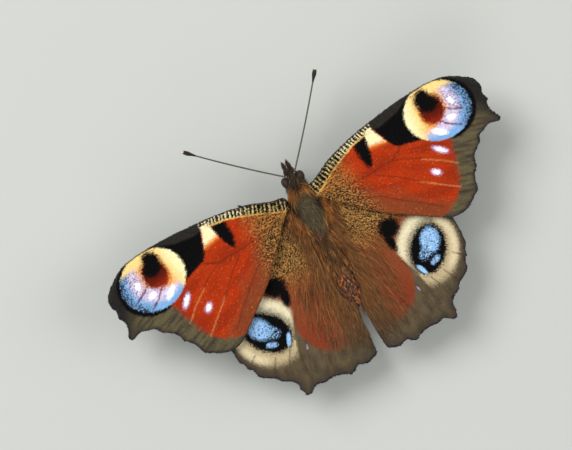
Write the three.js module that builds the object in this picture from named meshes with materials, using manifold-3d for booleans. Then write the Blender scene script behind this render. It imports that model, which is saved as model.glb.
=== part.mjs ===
// Peacock butterfly, life size, standing on the floor with its wings spread.
// Millimetres, +Z up, head towards -Y, the butterfly's left side towards +X.
import * as THREE from 'three';
import { mergeVertices } from 'three/addons/utils/BufferGeometryUtils.js';
import Module from 'manifold-3d';

const wasm = await Module();
wasm.setup();

// Driving dimensions of the body
const GAP = 0.3;
const THORAX = { front: -2.5, back: 4.6, halfWidth: 2.25, halfHeight: 2.4, z: 5.7, bluntness: 0.62 };
const ABDOMEN = { front: 4.9, back: 16.95, halfWidth: 1.95, halfHeight: 1.8, frontZ: 5.3, backZ: 4.7 };
const WAIST_SHARE = 0.86;
const WIDEST_AT = 0.35;
const TAIL_TAPER = 0.36;
const TIP_STARTS = 0.82;
const HEAD = { front: -4.95, back: -2.8, halfWidth: 1.35, halfHeight: 1.35, z: 5.4, bluntness: 0.55 };
const EYE = { x: 1.15, y: -3.75, z: 5.5, width: 0.62, length: 0.85, height: 0.95 };
const PALP = { x: 0.43, backY: -5.25, tipY: -6.8, backZ: 5.1, tipZ: 5.5, radius: 0.28 };
const FEELER_RADIUS = 0.26;
const CLUB_RADIUS = 0.42;
const CLUB_SHARE = 0.86;
const LEG_RADIUS = 0.3;
const THIGH_RADIUS = 0.42;
const SOLE_Z = 0;

// Driving dimensions of the wings
const WING_THICKNESS = 0.5;
const FOREWING_Z = 6.55;
const FOREWING_RISE = 0.085;
const FOREWING_DROOP = 0.0009;
const FOREWING_ARCH = 0.3;
const HINDWING_Z = 5.75;
const HINDWING_RISE = 0.055;
const HINDWING_ARCH = 0.2;
const HINDWING_DIP = 0.5;

// Each forewing keeps one shape, set at its own hinge and sweep
const FOREWING_SET = {
  left: { side: 1, x: 3.9, y: -0.92, sweep: 13.7, scale: 1.0089 },
  right: { side: -1, x: 2.6, y: -0.9, sweep: 6.3, scale: 1 },
};
// The left hindwing is spread a little wider than the right one
const HINDWING_SET = {
  left: { side: 1, stretch: 1.075 },
  right: { side: -1, stretch: 1 },
};

// Forewing outline in its own frame: a runs out along the wing, b forwards
const FOREWING_CENTRE = [14, 1.5];
const FOREWING_EDGE = [
  [-1.7, 0.7], [-0.4, 1.3], [1, 2.15], [2.3, 3.05], [4, 3.9], [7, 5.15], [10.5, 6.25], [14.5, 7.35], [18.5, 8.15],
  [20.3, 8.32], [22, 8.25], [23.3, 7.85], [24.5, 7.3], [25.6, 6.7], [26.2, 6], [26.4, 5], [26.25, 4.1],
  [26.65, 3.25], [26.35, 2.5], [26.5, 1.6], [26.9, 0.9], [27.35, 0.25], [27.2, -0.22], [26.4, -0.15],
  [25.4, -0.2], [24.7, -0.65], [23.7, -1.2], [23.4, -2.1], [22.6, -2.9], [22.1, -3.5], [21.8, -4.4],
  [21.8, -5.1], [21.3, -5.8], [20.95, -6.6], [20.85, -7.5], [20.75, -8.2], [20.1, -8.8], [19.2, -9.65],
  [18.4, -10.2], [17.2, -10.55], [16.1, -10.55], [13.1, -9.3], [10.6, -8.1], [8.5, -7.1], [5, -5],
  [2.5, -3.1], [0.4, -1.7], [-0.8, -1], [-1.7, -0.4],
];

// Hindwing outline in the body's frame: x runs out from the body, y backwards
const HINDWING_CENTRE = [8.5, 12.5];
const HINDWING_EDGE = [
  [1.2, 1.6], [4.5, 1.6], [8, 3.3], [12, 5.8], [15.3, 8.1], [16.9, 9.9], [17.4, 11.4], [17.55, 13],
  [17.5, 14.4], [17.35, 15.6], [16.9, 16.25], [16.75, 17], [16.25, 17.5], [16.05, 18.5], [15.5, 19.15],
  [14.8, 19.55], [14, 20.1], [13.5, 20.8], [12.6, 21.3], [12, 21.9], [11.8, 22.6], [11.85, 23.2],
  [11.65, 23.6], [11.55, 24.1], [11.15, 24.25], [10.6, 24], [10.2, 23.65], [9.5, 23.45], [8.6, 23.7],
  [7.6, 23.55], [6.5, 23.75], [5.7, 24], [5.05, 24.45], [4.3, 24.1], [3.85, 23.7], [3.1, 23.9],
  [2.4, 24.1], [1.5, 23.8], [0.9, 23.55], [0.7, 22], [0.6, 20], [0.55, 18.2], [0.35, 16.6], [0.6, 12],
  [0.9, 7],
];

// Feelers: base and tip as seen from above, and how high they rise
const FEELER = {
  left: { base: [0.8, -4.75], tip: [12.22, -14.54], bow: 0.25 },
  right: { base: [-0.5, -4.75], tip: [-10.09, -16.3], bow: -0.2 },
};
const FEELER_BASE_Z = 6.25;
const FEELER_TIP_Z = 8.6;

// Legs as joints from the chest to the last claw, for the left side
const LEGS = {
  foreleg: { joints: [[0.85, -1.3, 3.15], [1.15, -2.7, 2.7], [0.75, -4.3, 3.35]], onFloor: false },
  midleg: { joints: [[1.5, 0.6, 3.0], [4.7, -0.5, 4.3], [6.8, -2.4, 0.5], [8.9, -4.3, 0.19]], onFloor: true },
  hindleg: { joints: [[1.5, 2.7, 3.0], [4.3, 5.2, 4.2], [6.3, 9.3, 0.5], [7.3, 12.4, 0.19]], onFloor: true },
};

// How the rounds are shaped: where a round starts and stops on its half circle, and how far each part sags or bends
const THORAX_ROUND = [0.14, 0.86];
const THORAX_SAG = 0.35;
const THORAX_CREST_AT = 0.4;
const TAIL_CURVE = 1.6;
const TIP_ROUNDING = 0.985;
const HEAD_ROUND = [0.2, 0.88];
const HEAD_DROP = 0.1;
const EYE_YAW = 0.16;
const PALP_BOW = 0.05;
const PALP_TAPER = 0.6;
const FEELER_ARCH = 0.35;
const CLUB_FULL_AT = 0.93;
const CLUB_ROUNDS_AT = 0.95;
const CLUB_ROUNDING = 0.75;
const LEG_TENSION = 0.32;
const THIGH_ENDS = [0.2, 0.45];
const WING_RING_SHARES = [0.35, 0.7, 1];
const FOREWING_BACK = 11;
const FOREWING_CHORD = 20;
const HINDWING_SPAN = 19;
const HINDWING_ROOT = 2;
const HINDWING_DIP_WIDTH = 1.6;
const WELD = 1e-5;

// A closed skin over rings of points, shut by one point at each end
function closedSkin(rings, firstPole, lastPole) {
  const around = rings[0].length;
  const points = [firstPole, ...rings.flat(), lastPole];
  const at = (ring, k) => 1 + ring * around + (k % around);
  const faces = [];
  for (let k = 0; k < around; k++) {
    faces.push([0, at(0, k), at(0, k + 1)]);
    for (let ring = 0; ring + 1 < rings.length; ring++) {
      faces.push([at(ring, k), at(ring + 1, k), at(ring + 1, k + 1)]);
      faces.push([at(ring, k), at(ring + 1, k + 1), at(ring, k + 1)]);
    }
    faces.push([at(rings.length - 1, k + 1), at(rings.length - 1, k), points.length - 1]);
  }
  let volume = 0;
  const product = new THREE.Vector3();
  for (const [i, j, k] of faces) {
    volume += points[i].dot(product.crossVectors(points[j], points[k]));
  }
  const outward = volume > 0 ? faces : faces.map(([i, j, k]) => [i, k, j]);
  const geometry = new THREE.BufferGeometry();
  geometry.setAttribute('position', new THREE.Float32BufferAttribute(points.flatMap((p) => [p.x, p.y, p.z]), 3));
  geometry.setIndex(outward.flat());
  return geometry;
}

// A body along Y: section(t) gives the centre, half width and half height at t from 0 to 1
function bodySkin(section, steps, around) {
  const rings = [];
  for (let i = 0; i <= steps; i++) {
    const { y, z, halfWidth, halfHeight } = section(i / steps);
    const ring = [];
    for (let k = 0; k < around; k++) {
      const turn = (2 * Math.PI * k) / around;
      ring.push(new THREE.Vector3(halfWidth * Math.cos(turn), y, z + halfHeight * Math.sin(turn)));
    }
    rings.push(ring);
  }
  const start = section(0);
  const end = section(1);
  return closedSkin(rings, new THREE.Vector3(0, start.y, start.z), new THREE.Vector3(0, end.y, end.z));
}

// A round tube along a curve, with a radius that changes along it
function tubeSkin(curve, radiusAt, steps, around) {
  const frames = curve.computeFrenetFrames(steps, false);
  const rings = [];
  for (let i = 0; i <= steps; i++) {
    const middle = curve.getPointAt(i / steps);
    const ring = [];
    for (let k = 0; k < around; k++) {
      const turn = (2 * Math.PI * k) / around;
      ring.push(middle.clone()
        .addScaledVector(frames.normals[i], radiusAt(i / steps) * Math.cos(turn))
        .addScaledVector(frames.binormals[i], radiusAt(i / steps) * Math.sin(turn)));
    }
    rings.push(ring);
  }
  return closedSkin(rings, curve.getPointAt(0), curve.getPointAt(1));
}

function toManifold(geometry) {
  const bare = geometry.clone();
  bare.deleteAttribute('normal');
  bare.deleteAttribute('uv');
  const merged = mergeVertices(bare, WELD);
  return new wasm.Manifold(new wasm.Mesh({
    numProp: 3,
    vertProperties: new Float32Array(merged.attributes.position.array),
    triVerts: new Uint32Array(merged.index.array),
  }));
}

function fromManifold(manifold) {
  const mesh = manifold.getMesh();
  const geometry = new THREE.BufferGeometry();
  geometry.setAttribute('position', new THREE.Float32BufferAttribute(mesh.vertProperties, 3));
  geometry.setIndex([...mesh.triVerts]);
  return geometry;
}

function cutAway(geometry, ...tools) {
  let solid = toManifold(geometry);
  for (const tool of tools) {
    solid = solid.subtract(toManifold(tool));
  }
  return fromManifold(solid);
}

// Chest: a stout barrel, blunt at both ends; grow makes the larger one that cuts the wing roots
function thoraxSkin(grow) {
  return bodySkin((t) => {
    const along = Math.sin(Math.PI * THREE.MathUtils.lerp(...THORAX_ROUND, t)) ** THORAX.bluntness;
    return {
      y: THREE.MathUtils.lerp(THORAX.front - grow, THORAX.back + grow, t),
      z: THORAX.z - THORAX_SAG * (t - THORAX_CREST_AT) ** 2,
      halfWidth: THORAX.halfWidth * along + grow,
      halfHeight: THORAX.halfHeight * along + grow,
    };
  }, 12, 22);
}

function abdomenSkin(grow) {
  return bodySkin((t) => {
    const before = WAIST_SHARE + (1 - WAIST_SHARE) * Math.sin((0.5 * Math.PI * t) / WIDEST_AT);
    const behind = 1 - TAIL_TAPER * Math.max(0, (t - WIDEST_AT) / (1 - WIDEST_AT)) ** TAIL_CURVE;
    const swell = t < WIDEST_AT ? before : behind;
    const tip = Math.sqrt(1 - TIP_ROUNDING * Math.max(0, (t - TIP_STARTS) / (1 - TIP_STARTS)) ** 2);
    return {
      y: THREE.MathUtils.lerp(ABDOMEN.front - grow, ABDOMEN.back + grow, t),
      z: THREE.MathUtils.lerp(ABDOMEN.frontZ, ABDOMEN.backZ, t),
      halfWidth: ABDOMEN.halfWidth * swell * tip + grow,
      halfHeight: ABDOMEN.halfHeight * swell * tip + grow,
    };
  }, 16, 20);
}

function headSkin(grow) {
  return bodySkin((t) => {
    const round = Math.sin(Math.PI * THREE.MathUtils.lerp(...HEAD_ROUND, t)) ** HEAD.bluntness;
    return {
      y: THREE.MathUtils.lerp(HEAD.back + grow, HEAD.front - grow, t),
      z: HEAD.z - HEAD_DROP * t,
      halfWidth: HEAD.halfWidth * round + grow,
      halfHeight: HEAD.halfHeight * round + grow,
    };
  }, 8, 18);
}

function eyeSkin(side, grow) {
  const eye = new THREE.SphereGeometry(1, 14, 9);
  eye.scale(EYE.width + grow, EYE.length + grow, EYE.height + grow);
  eye.rotateZ(side * EYE_YAW);
  eye.translate(side * EYE.x, EYE.y, EYE.z);
  return eye;
}

function palpSkin(side) {
  const curve = new THREE.QuadraticBezierCurve3(
    new THREE.Vector3(side * PALP.x, PALP.backY, PALP.backZ),
    new THREE.Vector3(side * (PALP.x + PALP_BOW), (PALP.backY + PALP.tipY) / 2, PALP.backZ),
    new THREE.Vector3(side * PALP.x, PALP.tipY, PALP.tipZ),
  );
  return tubeSkin(curve, (t) => PALP.radius * Math.sqrt(1 - PALP_TAPER * t * t), 5, 8);
}

function feelerSkin({ base, tip, bow }) {
  const start = new THREE.Vector3(base[0], base[1], FEELER_BASE_Z);
  const end = new THREE.Vector3(tip[0], tip[1], FEELER_TIP_Z);
  const bend = start.clone().lerp(end, 0.5).add(new THREE.Vector3(bow, Math.abs(bow), FEELER_ARCH));
  const curve = new THREE.QuadraticBezierCurve3(start, bend, end);
  const radiusAt = (t) => {
    const club = THREE.MathUtils.smoothstep(t, CLUB_SHARE, CLUB_FULL_AT);
    const round = Math.sqrt(1 - CLUB_ROUNDING * THREE.MathUtils.smoothstep(t, CLUB_ROUNDS_AT, 1));
    return THREE.MathUtils.lerp(FEELER_RADIUS, CLUB_RADIUS, club) * round;
  };
  return tubeSkin(curve, radiusAt, 18, 8);
}

// A leg bends sharply at its knee and ankle; its sole is pressed flat on the floor
function legSkin(side, { joints, onFloor }) {
  const points = joints.map(([x, y, z]) => new THREE.Vector3(side * x, y, z));
  const curve = new THREE.CatmullRomCurve3(points, false, 'catmullrom', LEG_TENSION);
  const thin = (t) => THREE.MathUtils.smoothstep(t, ...THIGH_ENDS);
  const radiusAt = (t) => THREE.MathUtils.lerp(THIGH_RADIUS, LEG_RADIUS, thin(t));
  const leg = tubeSkin(curve, radiusAt, onFloor ? 18 : 8, 8);
  const place = leg.attributes.position;
  for (let i = 0; i < place.count; i++) {
    place.setZ(i, Math.max(SOLE_Z, place.getZ(i)));
  }
  return leg;
}

// A wing sheet: rings from its middle out to the edge, above and below its mid surface
function wingSkin(edge, centre, surfaceZ, toPlan) {
  const curve = new THREE.CatmullRomCurve3(edge.map(([p, q]) => new THREE.Vector3(p, q, 0)), true, 'centripetal');
  const rim = curve.getPoints(edge.length * 2).slice(0, -1);
  const pointAt = (p, q, lift) => {
    const [x, y] = toPlan(p, q);
    return new THREE.Vector3(x, y, surfaceZ(p, q) + lift);
  };
  const ringAt = (share, lift) => rim.map((r) => pointAt(
    THREE.MathUtils.lerp(centre[0], r.x, share),
    THREE.MathUtils.lerp(centre[1], r.y, share),
    lift,
  ));
  const half = WING_THICKNESS / 2;
  const rings = [
    ...WING_RING_SHARES.map((share) => ringAt(share, half)),
    ...WING_RING_SHARES.toReversed().map((share) => ringAt(share, -half)),
  ];
  return closedSkin(rings, pointAt(...centre, half), pointAt(...centre, -half));
}

function forewingZ(a, b) {
  const arch = FOREWING_ARCH * Math.sin((Math.PI * (b + FOREWING_BACK)) / FOREWING_CHORD);
  return FOREWING_Z + FOREWING_RISE * a - FOREWING_DROOP * a * a + arch;
}

function hindwingZ(x) {
  const arch = HINDWING_ARCH * Math.sin((Math.PI * x) / HINDWING_SPAN);
  return HINDWING_Z + HINDWING_RISE * (x - HINDWING_ROOT) + arch - HINDWING_DIP * Math.exp(-x / HINDWING_DIP_WIDTH);
}

function forewingSkin({ side, x, y, sweep, scale }) {
  const turn = THREE.MathUtils.degToRad(sweep);
  const toPlan = (a, b) => [
    side * (x + scale * (a * Math.cos(turn) + b * Math.sin(turn))),
    y + scale * (a * Math.sin(turn) - b * Math.cos(turn)),
  ];
  return wingSkin(FOREWING_EDGE, FOREWING_CENTRE, forewingZ, toPlan);
}

function hindwingSkin({ side, stretch }) {
  return wingSkin(HINDWING_EDGE, HINDWING_CENTRE, hindwingZ, (x, y) => [side * stretch * x, y]);
}

const finishes = {
  hair: { color: '#6a4526', roughness: 0.95, metalness: 0 },
  wing: { color: '#a8391a', roughness: 0.85, metalness: 0 },
  eye: { color: '#2a1c14', roughness: 0.3, metalness: 0 },
  shell: { color: '#1d1713', roughness: 0.6, metalness: 0 },
};

const butterfly = new THREE.Group();

function addPart(name, finish, geometry) {
  const part = new THREE.Mesh(geometry, new THREE.MeshStandardMaterial(finishes[finish]));
  part.name = name;
  butterfly.add(part);
}

addPart('thorax', 'hair', thoraxSkin(0));
addPart('abdomen', 'hair', abdomenSkin(0));
addPart('head', 'hair', cutAway(headSkin(0), eyeSkin(1, GAP / 2), eyeSkin(-1, GAP / 2)));

for (const [sideName, side] of [['left', 1], ['right', -1]]) {
  addPart(`eye_${sideName}`, 'eye', eyeSkin(side, 0));
  addPart(`palp_${sideName}`, 'hair', palpSkin(side));
  addPart(`antenna_${sideName}`, 'shell', cutAway(feelerSkin(FEELER[sideName]), headSkin(GAP), eyeSkin(side, GAP)));
  addPart(`forewing_${sideName}`, 'wing', cutAway(forewingSkin(FOREWING_SET[sideName]), thoraxSkin(GAP)));
  addPart(
    `hindwing_${sideName}`,
    'wing',
    cutAway(hindwingSkin(HINDWING_SET[sideName]), thoraxSkin(GAP), abdomenSkin(GAP)),
  );
  for (const [legName, leg] of Object.entries(LEGS)) {
    addPart(`${legName}_${sideName}`, 'shell', cutAway(legSkin(side, leg), thoraxSkin(GAP)));
  }
}

// The origin is the middle of the plan, at floor level
const box = new THREE.Box3().setFromObject(butterfly);
const middle = box.getCenter(new THREE.Vector3());
butterfly.position.set(-middle.x, -middle.y, -box.min.z);

export default butterfly;
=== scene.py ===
# %% [markdown]
# # A peacock butterfly, life size
# This lesson builds the looks of a butterfly around a fixed frame of plain solids. The real animal is a
# dark body in long silky hair, four thin wings paved with coloured scales like roof tiles, two ringed
# feelers and six thin legs. All lengths below are millimetres of the drawing that also made the solids, and
# one function turns them into the metres that Blender uses.

# %% Load the frame
import bpy
import numpy as np
from mathutils import Matrix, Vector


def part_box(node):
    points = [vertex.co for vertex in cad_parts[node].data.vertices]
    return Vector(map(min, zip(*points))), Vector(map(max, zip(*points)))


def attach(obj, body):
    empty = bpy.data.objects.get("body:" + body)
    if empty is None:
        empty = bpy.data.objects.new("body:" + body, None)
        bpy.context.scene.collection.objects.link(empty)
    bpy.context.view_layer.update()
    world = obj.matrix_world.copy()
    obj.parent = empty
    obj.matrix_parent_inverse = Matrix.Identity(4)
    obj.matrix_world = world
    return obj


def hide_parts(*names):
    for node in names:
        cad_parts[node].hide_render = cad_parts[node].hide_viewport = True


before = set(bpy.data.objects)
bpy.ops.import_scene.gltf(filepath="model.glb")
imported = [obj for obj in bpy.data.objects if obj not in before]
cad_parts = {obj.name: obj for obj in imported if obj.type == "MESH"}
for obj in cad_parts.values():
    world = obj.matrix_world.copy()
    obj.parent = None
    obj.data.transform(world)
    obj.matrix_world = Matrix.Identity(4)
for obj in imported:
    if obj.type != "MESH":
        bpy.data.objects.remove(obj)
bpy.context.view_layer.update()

MM = 0.001
PER_MM2 = 1 / MM ** 2
SIDES = {"left": 1, "right": -1}
print("nodes in the frame:", len(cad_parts))

# %% [markdown]
# The solids were drawn with the middle of the chest near zero and then moved, so that the origin lies under
# the middle of the outline. One eye's known place gives that move back, and from here on the drawing's own
# numbers work.

# %% Find the drawing's zero
EYE_MIDDLE = np.array([1.15, -3.75, 5.5])
low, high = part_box("eye_left")
DRAWING_ZERO = np.array((low + high) / 2) / MM - EYE_MIDDLE


def in_metres(points):
    """Places of the drawing, in millimetres, as places of the frame, in metres."""
    return (np.asarray(points, float) + DRAWING_ZERO) * MM


print("drawing's zero lies at", DRAWING_ZERO.round(3), "mm")

# %% [markdown]
# ## Making meshes from rings
# Wings, chest, abdomen, legs and feelers are all closed skins over rings of points: a wing's rings grow
# from its middle out to its edge and back underneath, and a leg's rings follow a bent line. One function
# joins the rings, so every piece is closed, and another turns the faces outwards by the sign of the volume.

# %% Rings, meshes and attributes
PATH_TENSION = 0.32
PATH_FINENESS = 400


def skin_faces(around, rings):
    """Faces of a closed skin: one pole, the rings, one pole."""
    k = np.arange(around)
    after = (k + 1) % around
    faces = [np.stack([np.zeros(around, int), 1 + k, 1 + after, 1 + after], 1)]
    for ring in range(rings - 1):
        start = 1 + ring * around
        faces.append(np.stack([start + k, start + around + k, start + around + after, start + after], 1))
    start = 1 + (rings - 1) * around
    last = np.full(around, 1 + rings * around)
    faces.append(np.stack([start + after, start + k, last, last], 1))
    return np.concatenate(faces)


def volume_of(points, faces):
    """Six times the volume inside a closed skin, negative when its faces look inwards."""
    p = points - points.mean(0)
    first, second, third, fourth = (p[faces[:, k]] for k in range(4))
    return np.sum(first * (np.cross(second, third) + np.cross(third, fourth)))


def outward_faces(points, faces):
    """Lists of corners with every face turned outwards; a corner that repeats makes a triangle."""
    turned = faces if volume_of(points, faces) > 0 else faces[:, ::-1]
    return [list(dict.fromkeys(face)) for face in turned.tolist()]


def make_mesh(name, points, faces):
    """A smooth mesh from points in millimetres and faces of up to four corners."""
    mesh = bpy.data.meshes.new(name)
    mesh.from_pydata(in_metres(points).tolist(), [], outward_faces(points, faces))
    mesh.shade_smooth()
    return mesh


def keep(mesh, name, values, kind="FLOAT"):
    """Stores one value for each point of a mesh."""
    field = {"FLOAT": "value", "FLOAT_VECTOR": "vector", "FLOAT_COLOR": "color"}[kind]
    attribute = mesh.attributes.get(name) or mesh.attributes.new(name, kind, "POINT")
    attribute.data.foreach_set(field, np.ascontiguousarray(values, np.float32).ravel())


def keep_colour(mesh, colour):
    """Stores the colour of each point."""
    keep(mesh, "Markings", np.c_[np.clip(colour, 0, 1), np.ones(len(colour))], "FLOAT_COLOR")


def kept(mesh, name, size):
    """Reads a value of each point of a mesh."""
    values = np.empty(len(mesh.vertices) * size, np.float32)
    mesh.attributes[name].data.foreach_get("vector" if size > 1 else "value", values)
    return values.reshape(-1, size).astype(float) if size > 1 else values.astype(float)


def show(name, mesh):
    """Puts a mesh or a lamp or camera in the scene as an object at the origin."""
    thing = bpy.data.objects.new(name, mesh)
    bpy.context.scene.collection.objects.link(thing)
    return thing


def turned_tube(path, radii, around):
    """Rings of points round a bent line, with a radius for each place on it."""
    path = np.asarray(path, float)
    ahead = np.gradient(path, axis=0)
    ahead /= np.linalg.norm(ahead, axis=1)[:, None]
    side = np.cross(ahead, [0.0, 0.0, 1.0])
    side /= np.linalg.norm(side, axis=1)[:, None]
    up = np.cross(side, ahead)
    turn = np.arange(around) * 2 * np.pi / around
    ring = side[:, None] * np.cos(turn)[None, :, None] + up[:, None] * np.sin(turn)[None, :, None]
    rings = path[:, None] + ring * np.asarray(radii)[:, None, None]
    return np.concatenate([path[:1], rings.reshape(-1, 3), path[-1:]])


def even_steps(line, count, endpoint=True):
    """The same line with its points spread evenly."""
    length = np.r_[0, np.cumsum(np.linalg.norm(np.diff(line, axis=0), axis=1))]
    at = np.linspace(0, length[-1], count, endpoint=endpoint)
    return np.stack([np.interp(at, length, column) for column in line.T], 1)


def smooth_path(corners, steps):
    """A smooth line through a few corners, with evenly spread steps."""
    corners = np.asarray(corners, float)
    longer = np.vstack([2 * corners[0] - corners[1], corners, 2 * corners[-1] - corners[-2]])
    t = np.linspace(0, len(corners) - 1 - 1e-9, PATH_FINENESS)
    i = t.astype(int)
    f = (t - i)[:, None]
    a, b, c, d = (longer[i + k] for k in range(4))
    line = b + f * PATH_TENSION * (c - a)
    line += f ** 2 * (3 * (c - b) - 2 * PATH_TENSION * (c - a) - PATH_TENSION * (d - b))
    line += f ** 3 * (2 * (b - c) + PATH_TENSION * (c - a) + PATH_TENSION * (d - b))
    return even_steps(line, steps)


print("ring tools ready")

# %% [markdown]
# ## Camera, floor and light
# The picture looks straight down on a butterfly with its head up and to the left, so the camera hangs above
# and is rolled. A long lens keeps the wings from being drawn in perspective. The floor is plain and pale,
# and three large soft lights with a bright grey surround stand in for an overcast sky.

# %% Camera
PICTURE_WIDTH = 572
PIXELS_PER_MM = 7.05
BODY_TURN = np.radians(27.67)
LENS = 180.0
SENSOR = 36.0
WING_LEVEL = 7.2
VIEW_MIDDLE = (3.9, 1.51, WING_LEVEL)


def set_pose(thing, right, up, back, place):
    """Turns an object by its three axes and puts it in its place."""
    matrix = Matrix.Identity(4)
    for row in range(3):
        for column, axis in enumerate((right, up, back, place)):
            matrix[row][column] = axis[row]
    thing.matrix_world = matrix


camera_data = bpy.data.cameras.new("camera")
camera_data.lens = LENS
camera_data.sensor_width = SENSOR
camera_data.clip_start = 0.01
camera_data.clip_end = 10
camera = show("camera", camera_data)
bpy.context.scene.camera = camera
view_distance = PICTURE_WIDTH / PIXELS_PER_MM * LENS / SENSOR * MM
set_pose(camera, (-np.cos(BODY_TURN), np.sin(BODY_TURN), 0), (-np.sin(BODY_TURN), -np.cos(BODY_TURN), 0),
         (0, 0, 1), in_metres(VIEW_MIDDLE) + [0, 0, view_distance])
print("camera", round(view_distance, 3), "m above the wings")

# %% Floor and lights
FLOOR_HALF = 1.5
FLOOR_CORNERS = [(-FLOOR_HALF, -FLOOR_HALF, 0), (FLOOR_HALF, -FLOOR_HALF, 0),
                 (FLOOR_HALF, FLOOR_HALF, 0), (-FLOOR_HALF, FLOOR_HALF, 0)]
floor_mesh = bpy.data.meshes.new("floor")
floor_mesh.from_pydata(FLOOR_CORNERS, [], [(0, 1, 2, 3)])
floor = show("floor", floor_mesh)
floor_finish = bpy.data.materials.new("pale floor")
floor_finish.use_nodes = True
floor_shader = floor_finish.node_tree.nodes["Principled BSDF"]
floor_shader.inputs["Base Color"].default_value = (0.46, 0.47, 0.44, 1)
floor_shader.inputs["Roughness"].default_value = 0.9
floor_mesh.materials.append(floor_finish)


def soft_light(name, place, watts, size):
    """A large square light that looks at the butterfly."""
    data = bpy.data.lights.new(name, "AREA")
    data.energy = watts
    data.size = size
    back = np.array(place) / np.linalg.norm(place)
    side = np.cross([0, 0, 1], back)
    side /= np.linalg.norm(side)
    set_pose(show(name, data), side, np.cross(back, side), back, place)


soft_light("key light", (0.25, -0.45, 0.6), 6.0, 0.45)
soft_light("fill light", (-0.6, 0.2, 0.5), 2.6, 0.5)
soft_light("back light", (0.3, 0.6, 0.4), 2.2, 0.5)
world = bpy.data.worlds.new("surround")
bpy.context.scene.world = world
world.use_nodes = True
surround = world.node_tree.nodes["Background"]
surround.inputs["Color"].default_value = (0.95, 0.97, 1.0, 1)
surround.inputs["Strength"].default_value = 0.4
bpy.context.scene.view_settings.view_transform = "Standard"
print("floor, three lights and a grey surround")

# %% [markdown]
# ## Colour by rule
# The wing markings aren't a picture: each is a simple shape with a known place in the wing's own
# millimetres, such as an oval, a band or a line, laid over the last one. Every scale later asks the same
# rules for its colour, with a little chance mixed in, which gives the ragged edges that real markings have.

# %% Paint tools
def paint(*rgb):
    """A colour given as 0 to 255 on a screen, as the linear light that a renderer wants."""
    c = np.array(rgb) / 255
    return np.where(c <= 0.04045, c / 12.92, ((c + 0.055) / 1.055) ** 2.4)


def ramp(x, low, high):
    """0 below low, 1 above high, and smooth between them."""
    t = np.clip((x - low) / (high - low), 0, 1)
    return t * t * (3 - 2 * t)


def fall(x, low, high):
    """1 below low, 0 above high, and smooth between them."""
    return 1 - ramp(x, low, high)


def lay(under, over, mask):
    """Lays one colour over another where the mask is 1."""
    return under + (over - under) * np.asarray(mask)[..., None]


def follow(x, corners):
    """Height of a bent line, given by its corners, at each x."""
    return np.interp(x, *np.transpose(corners))


def line_distance(p, q, points):
    """Distance from each place to a line drawn through a few points."""
    best = np.full(np.shape(p), 1e9)
    for (x0, y0), (x1, y1) in zip(points[:-1], points[1:]):
        dx, dy = x1 - x0, y1 - y0
        t = np.clip(((p - x0) * dx + (q - y0) * dy) / (dx * dx + dy * dy + 1e-12), 0, 1)
        best = np.minimum(best, np.hypot(p - x0 - t * dx, q - y0 - t * dy))
    return best


def draw(c, p, q, lines, colour, strength, rough, inner, outer):
    """Draws thin soft lines over a colour; each is full within inner and gone beyond outer."""
    for line in lines:
        c = lay(c, colour, strength * fall(line_distance(p, q, line) + rough, inner, outer))
    return c


def oval(p, q, centre, radii, turn=0.0):
    """1 on the rim of an oval, less inside it, more outside."""
    c, s = np.cos(np.radians(turn)), np.sin(np.radians(turn))
    dx, dy = p - centre[0], q - centre[1]
    return np.hypot((dx * c + dy * s) / radii[0], (dy * c - dx * s) / radii[1])


def ripple(p, q, size, seed):
    """Soft unevenness from five crossing waves, about -1 to 1."""
    total = np.zeros(np.shape(p))
    for k in range(5):
        turn = seed * 1.7 + k * 2.4
        scale = (1 + 0.37 * k) / size
        phase = seed * (k + 1) * 3.1
        total = total + np.sin((p * np.cos(turn) + q * np.sin(turn)) * scale * 2 * np.pi + phase)
    return total / 2.6


print("paint tools ready")

# %% Colours of the wings
RED = paint(168, 49, 11)
DEEP_RED = paint(136, 38, 10)
EARTH_RED = paint(118, 62, 34)
BROWN = paint(94, 86, 60)
DARK_BROWN = paint(58, 50, 42)
CHARCOAL = paint(34, 32, 30)
BLACK = paint(6, 5, 5)
CREAM = paint(238, 224, 176)
WARM_CREAM = paint(240, 205, 130)
ORANGE = paint(214, 112, 28)
OCHRE = paint(180, 130, 66)
MAROON = paint(92, 22, 8)
LILAC = paint(180, 152, 190)
BLUE = paint(108, 162, 208)
WHITE = paint(240, 240, 250)
EDGE = paint(44, 44, 54)
ROUGH = 0.16
print("colours named")

# %% [markdown]
# The upper side of the forewing is brick red inside a brown border. Along the front edge lie a striped
# band, a black bar, a cream patch, a large black patch and the eyespot, half cream and half lilac and blue
# round a dark heart. The wing's own places are a, out from the body, and b, forwards. The number grain,
# from -1 to 1 for each scale, roughens every edge; grain2 is a second chance, and rim is the distance to
# the wing's edge.

# %% Lines of the forewing
FORE_VEINS_DARK = [
    [(0.3, -0.9), (5, -0.95), (7.5, -0.7), (9.5, -0.2), (11, -0.05), (12, 0.7), (12.8, 1.3)],
    [(8, -1.1), (11, -2.6), (14.5, -4.8)],
    [(4, -3.2), (7.5, -4.1), (12, -6.7), (15.5, -8.8)],
    [(11, -0.1), (13, -0.6), (15, -1.3)],
]
FORE_VEINS_PALE = [[(15, -1.5), (17.6, -2.6), (19.6, -3.8)], [(13.6, -4.3), (16, -5.6), (18.6, -7)]]
FORE_EYE_VEINS = [[(20.2, 4.4), (21.6, 3.6), (23, 3.3)], [(19.2, 2.6), (20.6, 1.7), (22, 1.1)]]
BORDER_VEINS = [-1.2, -3.2, -5.3, -7.4, -9.2]
BORDER_START = [(-10.6, 14.2), (-9.9, 15.1), (-9.4, 16.3), (-8, 17.9), (-6, 18.9), (-3, 19.4), (0.4, 19.9)]
PATCH_SLANT = [(1.2, 12.75), (2.0, 11.75), (3.0, 11.1), (4.9, 9.95), (6.4, 9.55)]
PATCH_FOOT = [(11, 2), (12.6, 1.45), (14, 1.3), (15.5, 1.15), (16.3, 0.95), (18, 0.4)]
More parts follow.
